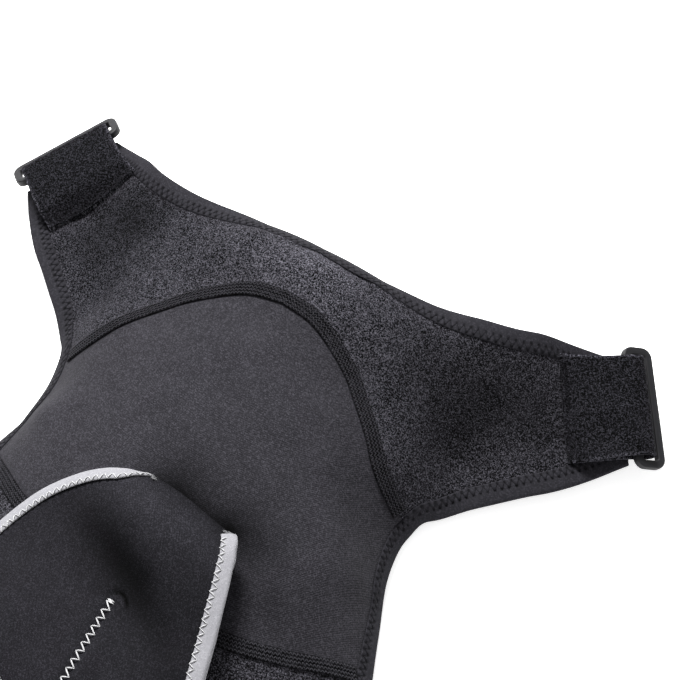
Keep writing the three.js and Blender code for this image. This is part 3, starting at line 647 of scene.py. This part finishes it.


# Painted light and shade of a panel: painted shade on the cap beside the pad's roll, and the painted
# patches
def painted_light_and_shade(name, plan):
    tone = np.zeros(plan.shape[:2])
    if name == "cap_panel":
        tone += SHADE_TONE * along_line(plan, *SHADE_BY_ROLL)
    for x, y, radius, change in PAINTED_LIGHT_AND_SHADE.get(name, []):
        tone += change * bell(np.linalg.norm(plan - np.array([x, y]), axis=-1), radius)
    return tone


def panel(name, low, high, left, right, covered, material, slot, seed, pile, soft):
    plan = patch(low, high, left, right)
    points, normals = cloth_at(plan)
    rows, columns = plan.shape[:2]
    i = np.arange(rows)[:, None]
    j = np.arange(columns)[None]
    from_ends = ease((np.minimum(i, rows - 1 - i) - covered[0]) / 9)
    inside = np.minimum(from_ends, ease((np.minimum(j, columns - 1 - j) - covered[1]) / 9))
    x, y = points[..., 0], points[..., 1]
    wave = soft * (0.6 * noise(x, y, 26, seed) + 0.4 * noise(x, y, 11, seed + 1))
    wave = (wave + fold_relief(name, plan)) * inside
    tone = painted_light_and_shade(name, plan)
    grain = pile * (0.6 * noise(x, y, 2.6, seed + 2) + 0.4 * noise(x, y, 1.5, seed + 3))
    upper = points + normals * (wave + grain * inside + CLOTH_WALL / 2)[..., None]
    lower = points + normals * (wave - CLOTH_WALL / 2)[..., None]
    piece = make_slab(name + "_cloth", upper, lower, plan.reshape(-1, 2), tone, material, slot,
                      (name,))


def raised(surface, height):
    points, normals = surface
    return points + normals * height, normals


# Sections of a folded tape round an edge: legs on both faces and a round nose
def tape_sections(layers, out, layer, gap, wall, reach_out, relief):
    edge, edge_normal = layers[0]
    inside = layer / 2 + gap
    outside = inside + wall
    count = len(layers)
    swell = TAPE_SWELL * np.sin(np.linspace(0, math.pi, count))
    rims = []
    for height, reach, skin in ((outside, reach_out, 1), (inside, reach_out - wall, 0)):
        tops, bottoms = [], []
        for k, surface in enumerate(layers):
            lift = height + skin * (swell[k] - (EDGE_THINNING if k == count - 1 else 0))
            tops.append(raised(surface, (lift + skin * relief[k])[:, None])[0])
            bottoms.append(raised(surface, -lift)[0])
        nose = []
        for a in np.radians(np.linspace(75, -75, 7)):
            side = reach * abs(math.cos(a)) ** 0.6
            lift = height * math.copysign(abs(math.sin(a)) ** 0.85, a)
            nose.append(edge + out * side + edge_normal * lift)
        rims.append(tops[::-1] + nose + bottoms)
    return np.stack(rims[0] + rims[1][::-1], axis=1)


def even_line(line, spacing):
    lengths = distances(line)
    count = int(lengths[-1] / spacing)
    return at_distances(np.linspace(0, lengths[-1], count), lengths, line)


def trimmed(line, cut):
    lengths = distances(line)
    return at_distances(np.linspace(cut, lengths[-1] - cut, len(line)), lengths, line)


# Zig-zag thread between two rows of points and normals, which dives into its needle holes
def zigzag(first, second, lift):
    even = (np.arange(len(first[0])) % 2 == 0)[:, None]
    spots, normals = (np.where(even, a, b) for a, b in zip(first, second))
    line = []
    for k in range(len(spots) - 1):
        for share in (0, 0.25, 0.5, 0.75):
            height = lift * (4 * share * (1 - share)) - HOLE_DIVE * (share == 0)
            point = spots[k] * (1 - share) + spots[k + 1] * share
            line.append(point + normals[k] * height)
    line.append(spots[-1] - normals[-1] * HOLE_DIVE)
    return np.array(line)


# Thread to and fro over the cloth, between needle rows beside a line
def sewn_run(holes, lengths, line, square, rows, top, lift):
    starts = at_distances(holes, lengths, line)
    squares = unit(at_distances(holes, lengths, square))
    return zigzag(*(raised(cloth_at(away(starts, squares, row)), top) for row in rows), lift)


# How near each stop of a tape is to its needle holes, 1 in a hole's middle
def hole_shares(lengths, holes, gaps, radius):
    square = ((lengths[:, None] - holes[None]) / radius) ** 2 + (gaps[None] / HOLE_LENGTH) ** 2
    return np.exp(-square).sum(axis=1)


def edge_tape(name, line, turn, stitched=True):
    line = even_line(line, TAPE_SPACING)
    inward = square_to(line) * turn
    depths = np.linspace(0, BINDING_WIDTH, TAPE_DEPTHS)
    plans = [line] + [away(line, inward, depth) for depth in depths[1:]]
    layers = [cloth_at(plan) for plan in plans]
    edge, normal = layers[0]
    out = edge - layers[-1][0]
    out = unit(out - normal * (out * normal).sum(axis=1, keepdims=True))
    lengths = distances(edge)
    holes = np.arange(1.5, lengths[-1] - 1, BINDING_STITCH)
    rows = np.where(np.arange(len(holes)) % 2 == 0, BINDING_INNER_ROW, BINDING_OUTER_ROW)
    relief = []
    for depth in depths:
        near = hole_shares(lengths, holes, depth - rows, HOLE_RADIUS)
        ripple = 0.10 * noise(lengths, depth, 5.0, 7) * math.sin(math.pi * depth / BINDING_WIDTH)
        relief.append(ripple - HOLE_DEPTH * near)
    sections = tape_sections(layers, out, CLOTH_WALL, TAPE_GAP, TAPE_WALL,
                             BINDING_GAP + BINDING_WALL, relief)
    # Painted shade in the needle holes: the deeper a hole, the darker its colour
    tone = np.zeros(sections.shape[:2])
    tone[:, :TAPE_DEPTHS] = HOLE_SHADE * np.minimum(0, np.transpose(relief[::-1]) + 0.08)
    swept(name + "_tape", sections, BLACK_TAPE, "tape", (name,), tone=np.clip(tone, DARKEST, 0))
    if stitched:
        top = CLOTH_WALL / 2 + TAPE_GAP + TAPE_WALL + 0.05
        needle_rows = (BINDING_INNER_ROW, BINDING_OUTER_ROW)
        run = sewn_run(holes, lengths, line, inward, needle_rows, top, 0.18)
        threads(name + "_stitches", [run], THREAD, BLACK_THREAD, "tape")


def seam_tape(name, line):
    line = even_line(line, SEAM_SPACING)[6:-6]
    square = square_to(line)
    depths = np.linspace(-SEAM_TAPE_WIDTH / 2, SEAM_TAPE_WIDTH / 2, SEAM_DEPTHS)
    layers = [cloth_at(away(line, square, depth)) for depth in depths]
    base = CLOTH_WALL / 2 + SEAM_TAPE_GAP
    edge, _ = layers[SEAM_DEPTHS // 2]
    lengths = distances(edge)
    upper, lower = [], []
    for depth, layer in zip(depths, layers):
        share = abs(depth) / (SEAM_TAPE_WIDTH / 2)
        ripple = 0.07 * noise(lengths, depth, 2.2, 11)
        height = base + SEAM_TAPE_WALL + 0.12 + ripple - 0.28 * bell(depth, 0.7) - 0.42 * share ** 6
        upper.append(raised(layer, height[:, None])[0])
        lower.append(raised(layer, base - 0.25)[0])
    sections = np.stack(upper + lower[::-1], axis=1)
    swept(name + "_cloth", sections, SEAM_CLOTH, "tape", (name,))
    top = base + SEAM_TAPE_WALL + 0.1
    holes = np.arange(0.6, lengths[-1] - 0.6, SEAM_STITCH)
    runs = [sewn_run(holes, lengths, line, square, rows, top, 0.14) for rows in SEAM_ROWS]
    threads(name + "_stitches", runs, FINE_THREAD, DARK_THREAD, "tape", sides=4)


# Frame of a wing's tip: places on the wing and on a straight continuation beyond it
def wing_tip(side, root_across, root_along, angle):
    out_plan = np.array([side * math.cos(angle), math.sin(angle)])
    across_plan = np.array([-side * math.sin(angle), math.cos(angle)])
    root = plan_points([(root_across, root_along)], side)[0]

    def on_wing(out, across):
        out, across = np.broadcast_arrays(out, across)
        return cloth_at(root + out[..., None] * out_plan + across[..., None] * across_plan)

    def near_end(out):
        ends = on_wing(out, np.array([-0.5, 0.5]) * WEBBING_WIDTH)[0]
        return ends.mean(axis=0), unit(ends[1] - ends[0])

    middle, bar = near_end(LOOP_OVERLAP)
    start, _ = near_end(LOOP_OVERLAP / 2)
    normal = unit(np.cross(middle - start, bar) * side)
    out = np.cross(bar, normal) * side
    across_end, _ = on_wing(LOOP_OVERLAP, (np.linspace(0, 1, 5) - 0.5) * WEBBING_WIDTH)
    middle = middle + normal * ((across_end - middle) @ normal).max()

    def beyond(distance, across):
        distance, across = np.broadcast_arrays(distance, across)
        return middle + (distance - LOOP_OVERLAP)[..., None] * out + across[..., None] * bar

    def base(distance, across):
        distance, across = np.broadcast_arrays(distance, across)
        points, normals = on_wing(np.minimum(distance, LOOP_OVERLAP), across)
        share = ease(distance / LOOP_OVERLAP)[..., None]
        flat = beyond(distance, across)
        return points * (1 - share) + flat * share, unit(normals * (1 - share) + normal * share)

    return base, beyond, bar, normal, out


PATH_STEP = 0.9
LAYER_STEP = WEBBING_WALL + CLEARANCE
OVER_BINDING = CLOTH_WALL / 2 + BINDING_GAP + BINDING_WALL + LOOP_LIFT + WEBBING_WALL / 2
BAR_REACH = 0.62 * max(RING_BAR, RING_THICKNESS)
BAR_HEIGHT = OVER_BINDING + WEBBING_WALL / 2 + CLEARANCE + BAR_REACH
TOP_HEIGHT = BAR_HEIGHT + BAR_REACH + CLEARANCE + WEBBING_WALL / 2
FOLD_RADIUS = (TOP_HEIGHT - OVER_BINDING) / 2
FOLD_OUT = LOOP_LENGTH - FOLD_RADIUS - WEBBING_WALL / 2
BAR_OUT = FOLD_OUT - (FOLD_RADIUS - WEBBING_WALL / 2 - BAR_REACH) - LOOP_SLACK


# Signs of a rectangle's corners and the angle at which each starts
CORNERS = ((1, 1, 0), (-1, 1, 90), (-1, -1, 180), (1, -1, 270))


# Sections of the rectangular ring, whose inner bar lies in the loop
def ring_sections(tip, side, drop, section, corner_steps, straight_steps=1):
    _, beyond, bar, normal, tip_out = tip
    centre = beyond(BAR_OUT, 0.0) + normal * BAR_HEIGHT
    out = tip_out * math.cos(drop) - normal * math.sin(drop)
    up = unit(-side * np.cross(bar, out))
    half_long = (RING_LENGTH - RING_BAR) / 2
    half_wide = (RING_WIDTH - RING_BAR) / 2
    centre = centre + out * half_wide
    stops = []
    for along_sign, out_sign, turn in CORNERS:
        corner = (centre + bar * along_sign * (half_long - RING_CORNER)
                  + out * out_sign * (half_wide - RING_CORNER))
        for i in range(corner_steps + 1):
            angle = math.radians(turn + 90 * i / corner_steps)
            outward = bar * math.cos(angle) + out * math.sin(angle)
            stops.append((corner + outward * RING_CORNER, outward))
    path = []
    for k, (middle, outward) in enumerate(stops):
        following, _ = stops[(k + 1) % len(stops)]
        path.append((middle, outward))
        if (k + 1) % (corner_steps + 1) == 0:
            for share in np.arange(1, straight_steps) / straight_steps:
                path.append((middle * (1 - share) + following * share, outward))
    return np.array([[m + o * a + up * b for a, b in section] for m, o in path])


def chamfered_section():
    wide, thick, cut = RING_BAR / 2, RING_THICKNESS / 2, RING_CHAMFER
    return [(wide, thick - cut), (wide - cut, thick), (cut - wide, thick), (-wide, thick - cut),
            (-wide, cut - thick), (cut - wide, -thick), (wide - cut, -thick), (wide, cut - thick)]


# Moulded bar with round corners and a fine parting line round its outside
def moulded_section():
    wide, thick, cut = RING_BAR / 2, RING_THICKNESS / 2, RING_ROUND
    spots = []
    for across, up, turn in CORNERS:
        for angle in (0, 22, 45, 68, 90):
            a = math.radians(turn + angle)
            spots.append((across * (wide - cut) + cut * math.cos(a),
                          up * (thick - cut) + cut * math.sin(a)))
    line = [(wide, -PARTING_LINE), (wide + 0.1, 0), (wide, PARTING_LINE)]
    return spots + [(wide, -0.5)] + line + [(wide, 0.5)]


tips = {name: wing_tip(*loop[:4]) for name, loop in STRAP_LOOPS.items()}
right_loop = STRAP_LOOPS["right"]
plain_ring = ring_sections(tips["right"], right_loop[0], right_loop[4], chamfered_section(), 3)
ring_low = np.array(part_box("right_ring")[0]) / MILLIMETRE
SHIFT = ring_low - plain_ring.reshape(-1, 3).min(axis=0)

for name, loop in STRAP_LOOPS.items():
    sections = ring_sections(tips[name], loop[0], loop[4], moulded_section(), 8, 10)
    swept(name + "_moulded_ring", sections, PLASTIC, "plastic", (name + "_ring",), closed=True)


# The webbing: out along the wing, round the bar and back on top
def webbing_path():
    line = [(out, OVER_BINDING) for out in np.arange(0, LOOP_OVERLAP, PATH_STEP)]
    line += [(out, OVER_BINDING) for out in np.arange(LOOP_OVERLAP, FOLD_OUT - 0.4, PATH_STEP)]
    for a in np.radians(np.linspace(-90, 90, 19)):
        line.append((FOLD_OUT + FOLD_RADIUS * math.cos(a), BAR_HEIGHT + FOLD_RADIUS * math.sin(a)))
    rise = TOP_HEIGHT - OVER_BINDING - LAYER_STEP
    for out in np.arange(FOLD_OUT - PATH_STEP, 0, -PATH_STEP):
        line.append((out, OVER_BINDING + LAYER_STEP + rise * ease(out / FOLD_OUT)))
    return np.array(line)


# The sewn end is pressed flat on the cloth between the bindings
SEWN_REACH = 10
SEWN_THINNING = 0.7
SEWN_DROP = 2.8
SEWN_DROP_ON_BINDING = 2.0
SEWN_LAYER_DROP = 1.45
SELVAGE = 1.6
SELVAGE_TONE = 2.6


def sewn_down(path, across):
    near = 1 - ease(path[:, :1] / SEWN_REACH)
    inner = ease((WEBBING_WIDTH / 2 - 2 - np.abs(across))[None] / 9)
    drop = near * (SEWN_DROP_ON_BINDING + (SEWN_DROP - SEWN_DROP_ON_BINDING) * inner)
    on_top = (np.arange(len(path)) > path[:, 0].argmax())[:, None]
    return drop + SEWN_LAYER_DROP * near * on_top


def strap_loop(name, tip, seed):
    base = tip[0]
    path = webbing_path()
    run = np.gradient(path, axis=0)
    run /= np.linalg.norm(run, axis=1, keepdims=True)
    lengths = distances(path)
    half = WEBBING_WIDTH / 2
    across = np.linspace(-half, half, 60)
    selvage = np.clip((np.abs(across) - half + SELVAGE) / SELVAGE, 0, 1)
    faces = []
    for skin in (1, -1):
        depth = WEBBING_WALL / 2 - 0.25 * np.clip((np.abs(across) - half + 0.5) / 0.5, 0, 1)
        grain = noise(lengths[:, None] + 300 * skin, across[None], 1.5, seed)
        coarse = noise(lengths[:, None] + 300 * skin, across[None], 4.0, seed + 1)
        pile = (0.22 * grain + 0.12 * coarse) * (1 - selvage)[None]
        shift = skin * (depth[None] + pile - 0.3 * selvage[None] * (1 - selvage[None]))
        shift = shift * (1 - SEWN_THINNING * (1 - ease(path[:, :1] / SEWN_REACH)))
        out = path[:, 0, None] + run[:, 1, None] * shift
        height = path[:, 1, None] - run[:, 0, None] * shift - sewn_down(path, across)
        faces.append(raised(base(out, across[None]), height[..., None])[0])
    sections = np.concatenate([faces[0], faces[1][:, ::-1]], axis=1)
    tone = SELVAGE_TONE * np.concatenate([selvage, selvage[::-1]])
    swept(name + "_webbing", sections, LOOP_PILE, "webbing", (name + "_strap_loop",), tone=tone)
    top = OVER_BINDING + LAYER_STEP + (1 - SEWN_THINNING) * WEBBING_WALL / 2 - SEWN_LAYER_DROP

    def sewn_top(outs, spots):
        rows = np.column_stack([np.append(outs, LOOP_LENGTH), np.zeros(len(outs) + 1)])
        return top - np.diagonal(sewn_down(rows, spots))

    spots = np.arange(-half + LOOP_STITCH, half - 1, LOOP_STITCH)
    rows = []
    for row in LOOP_ROWS:
        outs = np.full(len(spots), row)
        rows.append(raised(base(outs, spots), sewn_top(outs, spots)[:, None] + 0.15))
    threads(name + "_loop_stitches", [zigzag(*rows, 0.35)], FINE_THREAD, BLACK_THREAD, "webbing")
    rng = np.random.default_rng(seed + 5)
    frays = []
    for spot in rng.uniform(-half, half, 46):
        length = rng.uniform(0.8, 2.2)
        lean = rng.uniform(-0.8, 0.8)
        outs = np.array([0.6, 0.0, -0.5, -1.0]) * length
        surface = base(outs, spot + lean * np.array([0, 0.4, 0.8, 1.3]))
        edge_top = sewn_top(np.zeros(1), np.array([spot]))[0]
        heights = edge_top - 0.3 + np.array([0, 0.1, 0.0, -0.35]) * rng.uniform(0.4, 1.4)
        frays.append(raised(surface, heights[:, None])[0])
    threads(name + "_frayed_end", frays, FRAY, DARK_THREAD, "webbing", sides=4)


for number, name in enumerate(STRAP_LOOPS):
    strap_loop(name, tips[name], 40 + 10 * number)

# Panels on finer grids than the solids
WING_STEPS = 54
HALF_SEAM_STEPS = 77
neck_last = len(NECK_EDGE) - 1
side_last = len(SIDE_EDGE) - 1


def wing_side(side):
    return stations(SIDE_EDGE, 0, UPPER_SEAM_ROW, WING_STEPS, side)


seam_line = both_halves(lambda side: whole(UPPER_SEAM, HALF_SEAM_STEPS, side))
lower_line = both_halves(lambda side: whole(LOWER_SEAM, HALF_SEAM_STEPS, side))
end_line = both_halves(lambda side: whole(SLEEVE_END, HALF_SEAM_STEPS, side))
neck_line = both_halves(lambda side: np.vstack([
    stations(NECK_EDGE, 0, NECK_ROW, HALF_SEAM_STEPS, side),
    stations(NECK_EDGE, NECK_ROW, neck_last, WING_STEPS, side)[1:],
]))
gap_up = np.array([0, SEAM_GAP / 2])
yoke_low = np.vstack([wing_side(-1), seam_line[1:-1] + gap_up, wing_side(1)[::-1]])
panel("yoke_panel", yoke_low, neck_line, whole(WING_END, 92, -1), whole(WING_END, 92, 1), (8, 9),
      FLEECE, "fleece", 1, 0.28, 0.5)


def middle_panel(name, top, bottom, first, last, steps, top_shift, bottom_shift, *look):
    shares = np.linspace(0, 1, steps + 1)[:, None]
    drawn = bottom_shift * (1 - shares) + top_shift * shares
    sides = [stations(SIDE_EDGE, first, last, steps, side)[::-1] + drawn for side in (-1, 1)]
    panel(name, bottom + bottom_shift, top + top_shift, *sides, *look)


middle_panel("cap_panel", seam_line, lower_line, UPPER_SEAM_ROW, LOWER_SEAM_ROW, 96,
             -gap_up, gap_up, (6, 4), JERSEY, "jersey", 21, 0.04, 0.55)
middle_panel("sleeve_panel", lower_line, end_line, LOWER_SEAM_ROW, side_last, 84,
             -gap_up, np.zeros(2), (6, 5), FLEECE, "fleece", 31, 0.26, 0.6)
seam_tape("upper_seam_tape", seam_line)
seam_tape("lower_seam_tape", lower_line)


def side_line(side):
    return stations(SIDE_EDGE, 0, side_last, 400, side)


corner_cut = BINDING_WIDTH + BINDING_END_GAP
SIDES = (("left", -1), ("right", 1))
edge_tape("neck_binding", trimmed(neck_line, BINDING_END_GAP), -1)
for side_name, side in SIDES:
    edge_tape(side_name + "_arm_binding", trimmed(side_line(side), BINDING_END_GAP), -side)
edge_tape("sleeve_end_binding", trimmed(end_line, corner_cut), 1)
for side_name, side in SIDES:
    edge_tape(side_name + "_wing_binding", trimmed(whole(WING_END, 60, side), corner_cut), side,
              stitched=False)

# Pressure pad
pad_down = np.array([-math.sin(PAD_ANGLE), -math.cos(PAD_ANGLE)])
pad_across = np.array([math.cos(PAD_ANGLE), -math.sin(PAD_ANGLE)])
PAD_LIE = (CLOTH_WALL / 2 + SEAM_TAPE_GAP + SEAM_TAPE_WALL + CLEARANCE + PAD_BINDING_WALL
           + PAD_BINDING_GAP + PAD_WALL / 2)
DART_FROM = 52        # millimetres down the pad to the dart's point
DART_ASIDE = -8       # the dart lies left of the pad's middle line
DART_DRIFT = 0.06     # and comes nearer to it on its way down
HOLLOW_DEPTH = 3.6
PAD_COLUMNS = 141
pad_side = np.linspace(-1, 1, PAD_COLUMNS)[None]


def pad_points(rows, share):
    down, to_left, to_right, left, middle, right = (rows[:, k, None] for k in range(6))
    draw_up = PAD_END_ROUND * share * share * ease((down - 0.3) / 0.7)
    reach = np.where(share < 0, to_left, to_right) * share * PAD_FULL_WIDTH
    length = (down - draw_up) * PAD_LENGTH
    plan = (np.array([PAD_ROOT_ACROSS, PAD_ROOT_ALONG]) + length[..., None] * pad_down
            + reach[..., None] * pad_across)
    lift = middle + (np.where(share < 0, left, right) - middle) * share * share
    points, normals = cloth_at(plan)
    return points + normals * (PAD_LIE + lift * PAD_RISE)[..., None], length, reach


def pad_grid():
    count = len(PAD_ROWS) - 1
    places = np.concatenate([np.linspace(0, 5, 34)[:-1], np.linspace(5, 9, 30)[:-1],
                             np.linspace(9, count, 84)]) / count
    return pad_points(curve(PAD_ROWS, places), pad_side), places * count


(pad_middle, pad_length, pad_reach), pad_rows_at = pad_grid()
pad_normal = unit(np.cross(*np.gradient(pad_middle, axis=(0, 1))))


def dart_reach(length):
    return DART_ASIDE + DART_DRIFT * (length - DART_FROM)


# Depth of the sewn dart, of the pucker at its point and of the soft waves of the padding, and the painted
# light and shade of the pad
def pad_relief():
    past = ease((pad_length - DART_FROM + 3) / 14)
    aside = pad_reach - dart_reach(pad_length)
    groove = -1.1 * bell(aside, 1.6) * past
    beside = 0.55 * bell(np.abs(aside) - 5, 4.5) * past
    far = np.hypot(pad_length - DART_FROM, aside - 2.5)
    above = ease((DART_FROM - pad_length) / 3)
    fold = bell(far - 4.6, 0.8) * above
    rim = bell(far - 3.0, 0.9) * above
    fine = groove + beside + 0.8 * rim - 1.3 * fold
    wave = 0.7 * noise(pad_reach, pad_length, 30, 61) + 0.25 * noise(pad_reach, pad_length, 12, 62)
    on_top = ease((pad_rows_at - 5) / 2)[:, None]
    dip = bell(pad_length - 41 - 20 * pad_side, 12) * bell(pad_side + 0.15, 0.58)
    hollow = -HOLLOW_DEPTH * dip
    edge = ease((1 - np.abs(pad_side)) / 0.25)
    # Painted shade in the hollow, under the roll and towards the pad's right side; painted highlight on
    # the roll; a painted light rim and dark groove round the dart's point
    shade = -0.85 * dip - 0.35 * bell(np.maximum(0, pad_rows_at - 3), 1.6)[:, None]
    shade = shade - 0.25 * ease((pad_side - 0.1) / 0.6) + 0.4 * bell(pad_length - 9, 9)
    shade = shade + (0.6 * rim - 0.7 * fold) * ease((aside + 3) / 4)
    return (fine + (wave + hollow) * edge) * on_top, hollow * edge * on_top, shade


relief, sunk, pad_shade = pad_relief()
pad_top = pad_middle + pad_normal * (PAD_WALL / 2 + relief)[..., None]
pad_under = pad_middle + pad_normal * (sunk - PAD_WALL / 2)[..., None]
pad_piece = make_slab("pad_cushion", pad_top, pad_under, flat_grid(pad_reach, pad_length),
                      pad_shade, PAD_CLOTH, "pad_cloth", ("pressure_pad",))

# The dart's zig-zag thread runs down the middle of the pad
middle_column = PAD_COLUMNS // 2


def on_pad(length, reach):
    usable = np.nonzero(pad_rows_at > 6)[0]
    row = np.interp(length, pad_length[usable, middle_column], usable)
    low = np.minimum(row.astype(int), len(pad_length) - 2)
    part = (row - low)[:, None]
    numbers = np.arange(PAD_COLUMNS)
    column = np.array([np.interp(r, pad_reach[i], numbers) for r, i in zip(reach, low)])
    near = np.minimum(column.astype(int), PAD_COLUMNS - 2)
    side_part = (column - near)[:, None]

    def sample(grid):
        first = grid[low, near] * (1 - side_part) + grid[low, near + 1] * side_part
        second = grid[low + 1, near] * (1 - side_part) + grid[low + 1, near + 1] * side_part
        return first * (1 - part) + second * part

    return sample(pad_top), unit(sample(pad_normal))


dart_lengths = np.arange(DART_FROM, PAD_LENGTH - 8.5, DART_STITCH)
crowd = np.array([0.0, 0.5, 1.0, 1.5]) + dart_lengths[0]
dart_lengths = np.concatenate([crowd, dart_lengths[2:]])
dart_line = dart_reach(dart_lengths)
dart_rows = [on_pad(dart_lengths, dart_line + swing) for swing in (DART_SWING, -DART_SWING)]
threads("dart_stitches", [zigzag(*dart_rows, 0.55)], DART_THREAD, WHITE_THREAD, "grey_tape", sides=6)


# Bound edge of the pad: down its left side, round its lower end and up its right side
def pad_edge():
    left_rows = np.nonzero(pad_rows_at >= PAD_BOUND_FROM["left"])[0]
    right_rows = np.nonzero(pad_rows_at >= PAD_BOUND_FROM["right"])[0]
    last = len(pad_rows_at) - 1
    stops = [(r, 0) for r in left_rows] + [(last, c) for c in range(1, PAD_COLUMNS - 1)]
    stops += [(r, PAD_COLUMNS - 1) for r in right_rows[::-1]]
    rows, columns = np.array(stops).T
    line = np.hstack([pad_middle[rows, columns], pad_normal[rows, columns]])
    lengths = distances(line[:, :3])
    wanted = np.linspace(0, lengths[-1], int(lengths[-1]))
    edge, normal = np.split(at_distances(wanted, lengths, line), 2, axis=1)
    return edge, unit(normal), wanted


def smoothed(values, reach):
    kernel = np.hanning(2 * reach + 3)[1:-1]
    kernel /= kernel.sum()
    widened = np.pad(values, ((reach, reach), (0, 0)), mode="edge")
    return np.column_stack([np.convolve(widened[:, k], kernel, "valid") for k in range(3)])


def pad_tape():
    edge, normal, lengths = pad_edge()
    normal = unit(smoothed(normal, 2))
    run = unit(np.gradient(edge, axis=0))
    plain = unit(np.cross(normal, run))
    centre = pad_middle[len(pad_middle) // 2, middle_column]
    if ((centre - edge) * plain).sum() < 0:
        plain = -plain
    inward = unit(smoothed(plain, 6))
    longer = np.clip(1 / np.maximum((inward * plain).sum(axis=1), 0.6), 1, 1.5)
    flat_points = pad_middle.reshape(-1, 3)
    flat_normals = pad_normal.reshape(-1, 3)
    usable = np.repeat(pad_rows_at >= min(PAD_BOUND_FROM.values()) - 0.4, PAD_COLUMNS)
    flat_points, flat_normals = flat_points[usable], flat_normals[usable]
    narrowed = 0.3 + 0.7 * ease(lengths / 14)

    def on_surface(depth):
        targets = edge + inward * (depth * longer * narrowed)[:, None]
        points, normals = [], []
        for target in targets:
            nearest = ((flat_points - target) ** 2).sum(axis=1).argmin()
            n = flat_normals[nearest]
            points.append(target - n * ((target - flat_points[nearest]) @ n))
            normals.append(n)
        return np.array(points), unit(smoothed(np.array(normals), 2))

    depths = np.linspace(0, PAD_BINDING_WIDTH, 9)
    layers = [(edge, normal)] + [on_surface(depth) for depth in depths[1:]]
    holes = np.arange(1, lengths[-1] - 1, PAD_STITCH)
    rows = np.where(np.arange(len(holes)) % 2 == 0, PAD_BINDING_WIDTH - 0.4, PAD_BINDING_WIDTH - 3.1)
    dents = []
    for depth in depths:
        near = hole_shares(lengths, holes, depth - rows, HOLE_LENGTH)
        dents.append(0.12 * (noise(lengths, depth, 6.0, 71) - near))
    sections = tape_sections(layers, -inward, PAD_WALL, 2 * TAPE_GAP, TAPE_WALL,
                             PAD_BINDING_GAP + PAD_BINDING_WALL, dents)
    swept("pad_binding_tape", sections, GREY_TAPE, "grey_tape", ("pad_binding",))
    top = PAD_WALL / 2 + 2 * TAPE_GAP + TAPE_WALL + 0.15

    def at_holes(depth):
        points, normals = raised(on_surface(depth), top)
        return at_distances(holes, lengths, points), unit(at_distances(holes, lengths, normals))

    run = zigzag(at_holes(PAD_BINDING_WIDTH + 0.3), at_holes(PAD_BINDING_WIDTH - 2.6), 0.45)
    threads("pad_binding_stitches", [run], PAD_THREAD, WHITE_THREAD, "grey_tape")
    rng = np.random.default_rng(83)
    frays = []
    for end, step in ((0, 1), (len(edge) - 1, -1)):
        along = unit(edge[end] - edge[end + step])
        for _ in range(34):
            depth = rng.uniform(-0.8, PAD_BINDING_WIDTH)
            start = edge[end] + inward[end] * depth + normal[end] * (top - 0.4)
            length = rng.uniform(0.8, 2.6)
            turn = along + inward[end] * rng.uniform(-0.5, 0.5) + normal[end] * rng.uniform(-0.3, 0.4)
            shares = np.linspace(-0.3, 1, 5)[:, None]
            frays.append(start + unit(turn) * length * shares - normal[end] * 0.5 * shares ** 2)
    threads("pad_binding_frays", frays, PAD_FRAY, GREY_THREAD, "grey_tape", sides=4)


pad_tape()

# Floor, light and camera
floor_mesh = bpy.data.meshes.new("floor")
floor_mesh.from_pydata([(-6, -6, 0), (6, -6, 0), (6, 6, 0), (-6, 6, 0)], [], [(0, 1, 2, 3)])
floor_material, _, floor_shader = new_material("pale_floor", 0.9, 0.0, 0.1)
set_inputs(floor_shader, Base_Color=(0.9, 0.9, 0.9, 1), Emission_Color=(1, 1, 1, 1),
           Emission_Strength=0.65)
floor_mesh.materials.append(floor_material)
in_scene("floor", floor_mesh)

world = bpy.data.worlds.new("studio")
world.use_nodes = True
set_inputs(world.node_tree.nodes["Background"], Color=(1, 1, 1, 1), Strength=0.5)
bpy.context.scene.world = world

VIEW_AZIMUTH = math.radians(29)
VIEW_ELEVATION = math.radians(55)
LENS = 100
SENSOR = 36
FRAME_PIXELS = 680
ORIGIN_PIXEL = (240, 436)
DISTANCE = 918
pixels_focal = LENS / SENSOR * FRAME_PIXELS
right = np.array([math.cos(VIEW_AZIMUTH), math.sin(VIEW_AZIMUTH), 0])
level = np.cross(right, [0, 0, 1])
back = level * math.cos(VIEW_ELEVATION) + np.array([0, 0, math.sin(VIEW_ELEVATION)])
up = np.cross(back, right)
aside = (ORIGIN_PIXEL[0] - FRAME_PIXELS / 2) / pixels_focal
above = -(ORIGIN_PIXEL[1] - FRAME_PIXELS / 2) / pixels_focal
eye = SHIFT + DISTANCE * (back - aside * right - above * up)
camera_data = bpy.data.cameras.new("camera")
camera_data.lens = LENS
camera_data.sensor_width = SENSOR
camera_data.clip_start = 0.05
camera_data.clip_end = 50
camera = in_scene("camera", camera_data)
turn = Matrix([[right[k], up[k], back[k]] for k in range(3)]).to_4x4()
camera.matrix_world = Matrix.Translation(Vector(eye * MILLIMETRE)) @ turn
bpy.context.scene.camera = camera


def area_light(name, place, size, power):
    light = bpy.data.lights.new(name, "AREA")
    light.shape = "DISK"
    light.size = size
    light.energy = power
    lamp = in_scene(name, light)
    lamp.location = place
    lamp.rotation_mode = "QUATERNION"
    lamp.rotation_quaternion = (Vector((0, 0, 0.03)) - Vector(place)).to_track_quat("-Z", "Y")


area_light("key", (-1.1, 1.15, 2.2), 1.0, 195)
area_light("fill", (0.3, -1.4, 1.6), 1.6, 6)

view = bpy.context.scene.view_settings
view.view_transform = "Standard"
view.look = "None"
